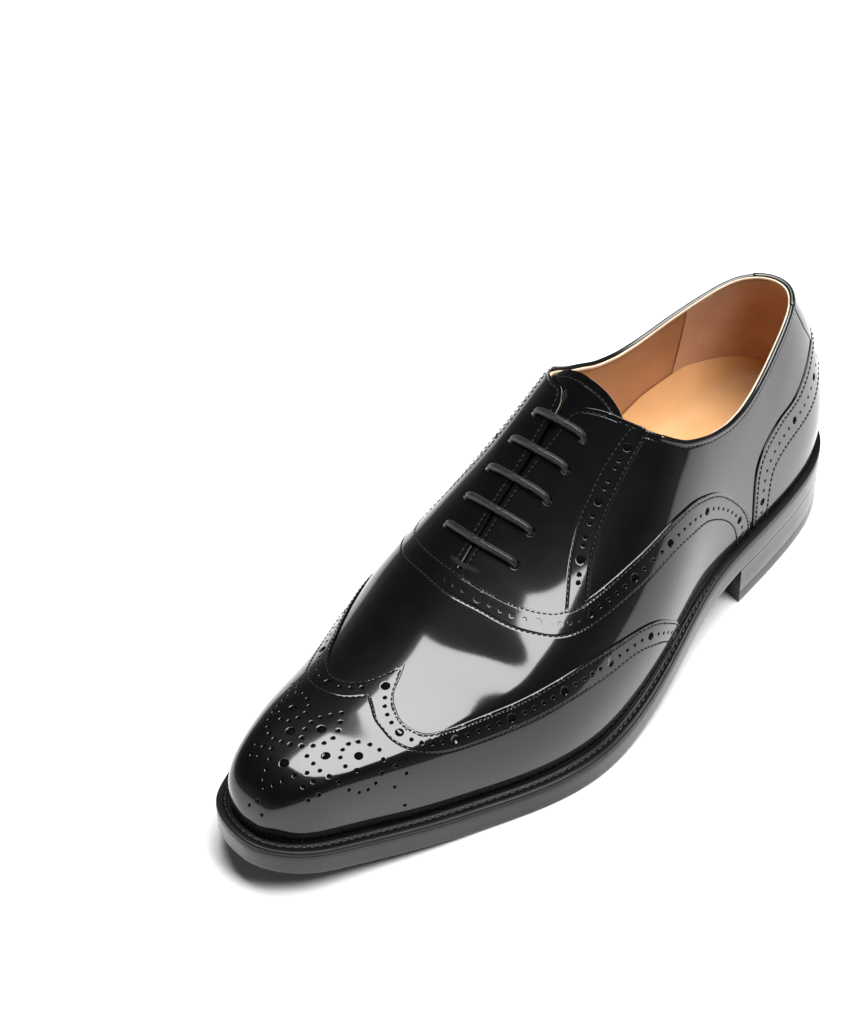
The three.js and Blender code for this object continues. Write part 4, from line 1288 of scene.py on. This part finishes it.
# ---- laces
def lace(i, row):
    sm, pm, sl, pl = row
    a = np.array([angle_of(sm), math.radians(pm)])
    b = np.array([angle_of(sl), math.radians(pl)])
    span = np.linalg.norm(last(a[0], a[1]) - last(b[0], b[1]))
    keys = [(0.0, -2.9), (0.0, -1.3), (0.3 / span, -0.15), (1.2 / span, 0.75), (2.6 / span, 1.18), (5.0 / span, 1.3),
            (0.3, 1.32), (0.5, 1.33)]
    keys += [(1 - k, d) for k, d in reversed(keys[:-1])]
    k = np.array([q[0] for q in keys])
    d = np.array([q[1] for q in keys])
    bow = (0.004, 0.006, 0.005, 0.007, 0.010)[i] * np.sin(PI * k)
    t = a[0] * (1 - k) + b[0] * k + bow
    phi = a[1] * (1 - k) + b[1] * k
    pts = last(t, phi, d)
    u = np.concatenate([[0], np.cumsum(np.linalg.norm(np.diff(pts, axis=0), axis=1))])
    w = np.linspace(0, u[-1], 72)
    p = np.stack([spline(u, pts[:, j])(w) for j in range(3)], 1)
    tan = unit(np.gradient(p, axis=0))
    ref = unit(last(a[0] + 0.02, a[1]) - last(a[0], a[1]))
    side = unit(ref - tan * (tan @ ref)[:, None])
    out = unit(np.cross(tan, side))
    wob = 1 + 0.025 * np.sin(w * 1.9 + i * 1.3)
    pinch = 1 - 0.14 * np.exp(-((w - 3.2) / 1.6) ** 2) - 0.14 * np.exp(-((w - u[-1] + 3.2) / 1.6) ** 2)
    sides = 20
    verts, faces = tube(p, side, out, LACE_R * 0.98 * wob * pinch, LACE_R * 0.93 * wob * pinch, sides=sides,
                        power=2.0, round_ends=False)
    ob = new_object("lace_%d" % (i + 1), verts, faces, mats=[LACE])
    uv = ob.data.uv_layers.new(name="braid")
    total = u[-1]
    for poly in ob.data.polygons:
        vs = [ob.data.loops[li].vertex_index for li in poly.loop_indices]
        ring = [v % sides for v in vs]
        wrap = max(ring) - min(ring) > sides / 2
        for li, v in zip(poly.loop_indices, vs):
            q = v % sides
            if wrap and q < sides / 2:
                q += sides
            uv.data[li].uv = (q / sides * 9.4, (v // sides) / 71 * total)
    return adopt(ob, "lace_cord", "lace_bar_%d" % (i + 1))


for i, row in enumerate(BARS):
    lace(i, row)

# ---- stitches on the upper
runs = []


def sew(c, d, pitch=2.1, long=1.62, radius=0.27, **kw):
    runs.append(thread(c, d, pitch, long, radius, **kw))


sew(wing_row1, CAP_D)
sew(wing_row1_in, CAP_D)
sew(wing_outer_low, CAP_D)
sew(wing_inner_low, CAP_D)
for c in (vamp_row1, vamp_row1_in, vamp_low, vamp_low_in):
    e = wing_outer if c[len(c) // 2, 1] < PI / 2 else wing_inner
    sew(c, VAMP_D)
for c in (row_a, row_b, row_a_in, row_b_in):
    sew(shown_over_vamp(c), FACING_D)
for c in slit_rows:
    sew(c[3:-1], FACING_D)
for c in top_rows:
    sew(c[2:], FACING_D)
for c in QUARTER_STITCH:
    c = c[c[:, 0] < (edge_b[0, 0] - 0.02)]
    sew(c, QUARTER_D, long=1.4, radius=0.22)
for c in (counter_row1, counter_low_full):
    sew(c[1:], COUNTER_D)
    sew(mirrored(c[1:]), COUNTER_D)
sew(tongue_row, TONGUE_D, shape=last)
stitches = new_object("upper_stitches", *merge(runs), mats=[THREAD])
adopt(stitches, "stitch_thread")

# bar tack across the foot of the slit
tack = []
for k in range(4):
    st = 185.0 - 0.36 * k
    row = line([(st - 0.5, 84.4), (st, 87.0), (st + 0.3, 90), (st + 0.1, 93.2)], 0.4)
    tack.append(thread(row, FACING_D + 0.12 * (k % 2), 8.0, length_of(row)[-1] * 0.98, 0.19, sides=6))
tack_ob = new_object("bar_tack", *merge(tack), mats=[THREAD])
adopt(tack_ob, "stitch_thread")


# painted shade: dark, matt discs set into the punched holes in place of the shaded leather at their bottoms
def hole_shade_discs(holes, d, depth=0.42):
    out = []
    for ht, hp, r in holes:
        n = 12 if r > 1.2 else 8
        pt, pp2, nn = axes_at(np.array([ht]), np.array([hp]), d)
        a = unit(pt)[0]
        b = np.cross(nn[0], a)
        c = surf(np.array([ht]), np.array([hp]), d)[0]
        ang = 2 * PI * np.arange(n) / n
        ring = (np.cos(ang)[:, None] * a + np.sin(ang)[:, None] * b) * (r + 0.12)
        top = c - nn[0] * depth + ring
        low = c - nn[0] * (depth + 0.3) + ring
        v = np.concatenate([top, low])
        f = [tuple(range(n)), tuple(range(2 * n - 1, n - 1, -1))]
        f += [(i, n + i, n + (i + 1) % n, (i + 1) % n) for i in range(n)]
        out.append((v, f))
    return out


# painted shade discs in the holes of the cap, vamp, facings and counter
shade_discs = hole_shade_discs(cap_holes, CAP_D) + hole_shade_discs(vamp_holes, VAMP_D) + hole_shade_discs(face_holes, FACING_D)
shade_discs += hole_shade_discs(counter_holes, COUNTER_D) + hole_shade_discs([(a, PI - b, r) for a, b, r in counter_holes], COUNTER_D)
hole_shade_ob = new_object("perforation_backing", *merge(shade_discs), mats=[HOLE_SHADE])
adopt(hole_shade_ob, "upper_leather")

# ------------------------------------------------------------------ sole
def rim_loop(inset, height, n=150, flat_front=None):
    """Loop round the sole: outer side heel to toe, inner side back."""
    t = np.concatenate([np.linspace(0, PI, n + 1), np.linspace(PI, 0, n + 1)[1:-1]])
    side = np.concatenate([np.ones(n + 1), -np.ones(n - 1)])
    e = 1e-4
    t0, t1 = np.clip(t - e, 0, PI), np.clip(t + e, 0, PI)
    half = np.where(side > 0, rim_outer(t), rim_inner(t))
    dx = np.where(side > 0, rim_outer(t1) - rim_outer(t0), rim_inner(t1) - rim_inner(t0))
    s = station_of(t, 0, SOLE_LENGTH)
    ds = station_of(t1, 0, SOLE_LENGTH) - station_of(t0, 0, SOLE_LENGTH)
    dx = np.where(t < 1e-6, 1.0, np.where(t > PI - 1e-6, -1.0, dx))
    ds = np.where((t < 1e-6) | (t > PI - 1e-6), 0.0, ds)
    k = np.hypot(dx, ds)
    ins = inset(s) if callable(inset) else inset
    x, s2 = side * (half - ins * ds / k), s + ins * dx / k
    return place(x, s2, height(s2) if callable(height) else height)


def show(s):
    return np.interp(s, col(WELT_SHOW, 0), col(WELT_SHOW, 1))


def skirts(loops, closed=False):
    n = len(loops[0])
    verts = np.concatenate(loops)
    faces = []
    m = len(loops)
    for k in range(m if closed else m - 1):
        a, b = k * n, ((k + 1) % m) * n
        for i in range(n):
            j = (i + 1) % n
            faces.append((a + i, a + j, b + j, b + i))
    return verts, faces


def strips(n, base, flip):
    """Fill a loop with strips across the shoe."""
    out = []
    for i in range(n // 2):
        a, b, c, d = i, i + 1, n - i - 1, (n - i) % n
        quad = (a, b, c, d) if d != a else (a, b, c)
        quad = tuple(dict.fromkeys(base + v for v in quad))
        if len(quad) > 2:
            out.append(quad[::-1] if flip else quad)
    return out


def sharpen(ob, angle=38):
    ob.data.set_sharp_from_angle(angle=math.radians(angle))


def sole_body():
    prof = [(16.0, 0.0), (6.0, 0.0), (0.9, 0.0), (0.4, 0.02), (0.16, 0.16), (0.06, 0.5), (0.04, 2.4), (0.0, 4.6),
            (0.03, 6.9), (0.12, 8.15), (0.34, 8.72), (1.2, 8.86), (3.0, 8.88)]
    on_heel = lambda s: 1 - smoothstep(s, HEEL_BREAST - 4, HEEL_BREAST + 1)
    loops = [rim_loop((lambda s, i=i, z=z: i * (1 - on_heel(s)) + min(i, 0.16) * on_heel(s)) if 0 < i < 1.2 and z < 3
                      else i, lambda s, z=z: tread_height(s) + z) for i, z in prof]
    verts, faces = skirts(loops)
    n = len(loops[0])
    fm = [1 if prof[k][1] < 0.2 and prof[k + 1][1] < 0.2 else 0 for k in range(len(prof) - 1) for _ in range(n)]
    a = strips(n, 0, True)
    b = strips(n, (len(prof) - 1) * n, False)
    faces += a + b
    fm += [1] * len(a) + [0] * len(b)
    ob = new_object("outsole_leather", verts, faces, mats=[SOLE, BOTTOM], face_mats=fm)
    sharpen(ob, 45)
    return adopt(ob, "sole_leather", "outsole")


sole_ob = sole_body()


def channel(s):
    return smoothstep(s, 92, 122)


def welt_body():
    # outer face, rounded top edge, stitch channel, then under the upper
    rows = [(lambda s: 2.6, lambda s: 9.0), (lambda s: 0.95, lambda s: 8.97), (lambda s: 0.34, lambda s: 9.04),
            (lambda s: 0.1, lambda s: 9.25), (lambda s: 0.0, lambda s: 9.8), (lambda s: 0.05, lambda s: 10.6),
            (lambda s: 0.26, lambda s: 10.98), (lambda s: 0.62, lambda s: 11.15), (lambda s: 1.15, lambda s: 11.2)]
    mid = lambda s: show(s) * 0.56
    for off, deep in ((-0.95, 0.0), (-0.62, 0.16), (-0.3, 0.42), (0.3, 0.42), (0.62, 0.16), (0.95, 0.0)):
        rows.append((lambda s, o=off: np.maximum(1.3 + (o + 1) * 0.1, mid(s) + o * (0.35 + 0.65 * channel(s))),
                     lambda s, q=deep: 11.2 - q * channel(s)))
    rows += [(lambda s: np.maximum(show(s) - 0.35, 1.9), lambda s: 11.16), (lambda s: show(s) + 3.0, lambda s: 11.0),
             (lambda s: show(s) + 3.0, lambda s: 9.0)]
    loops = []
    for ins, z in rows:
        loops.append(rim_loop(ins, lambda s, z=z: tread_height(s) + z(s), n=200))
    verts, faces = skirts(loops, closed=True)
    ob = new_object("welt_leather", verts, faces, mats=[WELT])
    sharpen(ob, 60)
    return adopt(ob, "welt_leather", "welt")


welt_ob = welt_body()


def welt_stitches():
    loop = rim_loop(lambda s: show(s) * 0.56, lambda s: tread_height(s) + 10.86, n=400)
    n = len(loop)
    s = SHIFT_Y - loop[:, 1]
    # from the outer waist round the toe to the inner waist
    k = np.arange(n)
    keep = s > 92
    path = loop[keep]
    u = np.concatenate([[0], np.cumsum(np.linalg.norm(np.diff(path, axis=0), axis=1))])
    pitch, long, rad = 3.0, 2.6, 0.56
    m = int(u[-1] / pitch)
    parts = []
    for i in range(m):
        mid = (i + 0.5) * pitch
        w = np.linspace(mid - long / 2, mid + long / 2, 9)
        p = np.stack([np.interp(w, u, path[:, j]) for j in range(3)], 1)
        arch = 1 - np.linspace(-1, 1, 9) ** 4
        p[:, 2] += 0.34 * arch - 0.22
        tan = unit(np.gradient(p, axis=0))
        up = np.array([0, 0, 1.0])
        side = unit(np.cross(tan, up))
        out = unit(np.cross(side, tan))
        size = rad * (0.72 + 0.28 * arch) * (1 + 0.06 * math.sin(i * 2.3))
        parts.append(tube(p, side, out, size * 1.12, size, sides=9, power=2.0))
    ob = new_object("welt_stitches", *merge(parts), mats=[WELT_THREAD])
    return adopt(ob, "stitch_thread")


welt_stitches()


def heel_body():
    end = float(angle_of(HEEL_BREAST, 0, SOLE_LENGTH))
    n = 90

    def loop(inset, z, k):
        pts = []
        for side in (1, -1):
            t = np.linspace(0, end, n)
            f = rim_outer if side > 0 else rim_inner
            e = 1e-4
            t0, t1 = np.clip(t - e, 0, PI), t + e
            dx, ds = f(t1) - f(t0), station_of(t1, 0, SOLE_LENGTH) - station_of(t0, 0, SOLE_LENGTH)
            dx, ds = np.where(t < 1e-6, 1.0, dx), np.where(t < 1e-6, 0.0, ds)
            h = np.hypot(dx, ds)
            x, s = side * (f(t) - (0.25 + inset) * ds / h), station_of(t, 0, SOLE_LENGTH) + (0.25 + inset) * dx / h
            pts.append(np.stack([x, np.minimum(s, HEEL_BREAST - inset)], 1))
        l, r = pts[0][-1], pts[1][-1]
        w = np.linspace(0, 1, 26)[1:-1, None]
        breast = l * (1 - w) + r * w
        breast[:, 1] = HEEL_BREAST - inset - BREAST_HOLLOW * 4 * w[:, 0] * (1 - w[:, 0])
        ring = np.concatenate([pts[0], breast, pts[1][::-1][:-1]])
        return place(ring[:, 0] * k, (ring[:, 1] - 40) * k + 40, z)

    prof = [(14, 0.0), (3, 0.0), (0.75, 0.0), (0.3, 0.14), (0.05, 0.5), (0.0, 1.2), (0.0, 5.8), (0.03, 5.92), (0.03, 6.0),
            (0.0, 6.1), (0.0, 12.0), (-0.05, 17.2), (-0.08, 17.95), (0.5, 17.99)]
    top = HEEL_HEIGHT - 0.3
    loops = [loop(i, z, HEEL_TAPER + (1 - HEEL_TAPER) * min(1.0, z / top)) for i, z in prof]
    verts, faces = skirts(loops)
    m = len(loops[0])
    fm = [1 if prof[k + 1][1] < 0.1 else 0 for k in range(len(prof) - 1) for _ in range(m)]
    low = tuple(range(m))
    high = tuple((len(prof) - 1) * m + i for i in range(m))
    faces += [low[::-1], high]
    fm += [1, 0]
    ob = new_object("heel_stack", verts, faces, mats=[SOLE, BOTTOM], face_mats=fm)
    sharpen(ob, 40)
    return adopt(ob, "heel_stack", "heel")


heel_ob = heel_body()


# ---- sock over the insole
# over the welt's top: heights of the sock's turned-up rim, outer and inner side
SOCK_RIM = [(0, 15, 16), (20, 15, 22), (38, 16, 28), (62, 16, 28), (85, 14, 23), (112, 10, 13), (145, 6, 6.5),
            (200, 4.4, 4.4), (300, 3.6, 3.6)]


def sock_body():
    n = 110
    t = np.linspace(0, PI, n + 1)
    ends = []
    for k, side in ((1, 1), (2, -1)):
        phi = np.full(n + 1, 0.2)
        for _ in range(5):
            s_ = last_xsz(t, phi if side > 0 else PI - phi, -3.15)[1]
            want = np.interp(s_, col(SOCK_RIM, 0), col(SOCK_RIM, k))
            lo, hi = np.zeros(n + 1), np.full(n + 1, PI / 2.2)
            for _ in range(36):
                m = (lo + hi) / 2
                _, sm, zm = last_xsz(t, m if side > 0 else PI - m, -3.15)
                low = zm - welt_top(np.clip(sm, 0, SOLE_LENGTH)) < want
                lo, hi = np.where(low, m, lo), np.where(low, hi, m)
            phi = (lo + hi) / 2
        ends.append(last(t, phi if side > 0 else PI - phi, -3.15))
    wall = np.concatenate([ends[0], ends[1][::-1][1:-1]])
    m = len(wall)
    mate = np.array([(m - i) % m for i in range(m)])
    centre = (wall + wall[mate]) / 2
    st = SHIFT_Y - centre[:, 1]
    # draw the ends of the centre line in from heel and toe
    st_in = np.clip(st, 26.0, 276.0)
    cx = np.interp(st_in, st[: n + 1], centre[: n + 1, 0])
    centre = place(cx - SHIFT_X, st_in, 0.0)
    s_w = SHIFT_Y - wall[:, 1]
    loops = []
    for w in (0.0, 0.02, 0.06, 0.12, 0.2, 0.3, 0.42, 0.58, 0.78, 0.97):
        q = wall * (1 - w) + centre * w
        sq = SHIFT_Y - q[:, 1]
        flat = welt_top(sq) + 2.8 + 8.5 * (1 - smoothstep(sq, 95, 165)) - 0.6 * (1 - smoothstep(sq, 5, 60))
        k = np.clip(1 - w / 0.42, 0, 1) ** 2.3
        q[:, 2] = flat + (wall[:, 2] - flat) * k
        loops.append(q)
    under_ = loops[0].copy()
    under_[:, 2] -= 1.6
    low = wall * 0.9 + centre * 0.1
    low[:, 2] = welt_top(SHIFT_Y - low[:, 1]) + 1.2
    loops = [low, under_] + loops
    verts, faces = skirts(loops)
    faces += strips(m, (len(loops) - 1) * m, False) + strips(m, 0, True)
    ob = new_object("sock", verts, faces, mats=[SOCK])
    sharpen(ob, 60)
    return adopt(ob, "sock_leather", "insole")


sock_body()


def fix_normals():
    """Outward faces on the swept bodies."""
    import bmesh
    for name in ("outsole_leather", "welt_leather", "heel_stack", "sock", "collar_roll", "lining_edge",
                 "welt_stitches", "lace_1", "lace_2", "lace_3", "lace_4", "lace_5"):
        ob = bpy.data.objects[name]
        bm = bmesh.new()
        bm.from_mesh(ob.data)
        bmesh.ops.recalc_face_normals(bm, faces=bm.faces)
        bm.to_mesh(ob.data)
        bm.free()
        ob.data.update()


fix_normals()

# ------------------------------------------------------------------ stage
floor_mesh = bpy.data.meshes.new("floor")
w = 6.0
floor_mesh.from_pydata([(-w, -w, 0), (w, -w, 0), (w, w, 0), (-w, w, 0)], [], [(0, 1, 2, 3)])
floor = bpy.data.objects.new("floor", floor_mesh)
SCENE.collection.objects.link(floor)
fm_, fnt, fb = shader("floor_matt")
fco = fnt.nodes.new("ShaderNodeTexCoord").outputs["Object"]
tint = ramp(fnt, noise(fnt, fco, 3.0, 2.0), [(0.3, (0.97, 0.97, 0.975)), (0.7, (1.0, 1.0, 1.0))])

blend = fnt.nodes.new("ShaderNodeVectorMath")
blend.operation = "MULTIPLY"
fnt.links.new(tint, blend.inputs[0])
blend.inputs[1].default_value = (0.86, 0.86, 0.865)
fnt.links.new(blend.outputs["Vector"], fb.inputs["Base Color"])
fb.inputs["Roughness"].default_value = 0.9
fb.inputs["Specular IOR Level"].default_value = 0.1
floor_mesh.materials.append(fm_)


def area(name, at, aim, size_x, size_y, power, color=(1, 1, 1), spread=180):
    data = bpy.data.lights.new(name, "AREA")
    data.shape = "RECTANGLE"
    data.size, data.size_y = size_x, size_y
    data.energy = power
    data.color = color
    data.spread = math.radians(spread)
    ob = bpy.data.objects.new(name, data)
    ob.location = at
    way = (Vector(aim) - Vector(at)).normalized()
    ob.rotation_euler = way.to_track_quat("-Z", "Y").to_euler()
    SCENE.collection.objects.link(ob)
    return ob


def softbox(name, x0, x1, y0, y1, height, radiance, turn=0.0):
    """Overhead panel facing down, given by its sides and its radiance."""
    cx, cy = (x0 + x1) / 2, (y0 + y1) / 2
    ob = area(name, (cx, cy, height), (cx, cy, 0), x1 - x0, y1 - y0, radiance * PI * (x1 - x0) * (y1 - y0))
    ob.rotation_euler = (0, 0, math.radians(turn))
    return ob


softbox("softbox_top", -0.74, 1.30, -0.18, 0.62, 1.5, 12.0, 3.0)
softbox("softbox_mid", -0.80, 1.38, -0.19, 0.70, 1.53, 1.0, 3.0)
softbox("softbox_rim", -0.88, 1.48, -0.20, 0.80, 1.56, 0.5, 3.0)

world = bpy.data.worlds.new("studio")
world.use_nodes = True
SCENE.world = world
wn = world.node_tree
bg = wn.nodes["Background"]
tc = wn.nodes.new("ShaderNodeTexCoord")
sep = wn.nodes.new("ShaderNodeSeparateXYZ")
wn.links.new(tc.outputs["Generated"], sep.inputs[0])
wr = wn.nodes.new("ShaderNodeValToRGB")
stops = [(0.0, 0.26), (0.1, 0.22), (0.34, 0.1), (0.62, 0.05), (1.0, 0.05)]
while len(wr.color_ramp.elements) < len(stops):
    wr.color_ramp.elements.new(0.5)
for e, (at, v) in zip(wr.color_ramp.elements, stops):
    e.position, e.color = at, (v, v, v * 1.02, 1)
wn.links.new(sep.outputs["Z"], wr.inputs["Fac"])
wn.links.new(wr.outputs["Color"], bg.inputs["Color"])
bg.inputs["Strength"].default_value = 1.0

SCENE.view_settings.view_transform = "Standard"
SCENE.view_settings.look = "None"
SCENE.view_settings.exposure = 0.0
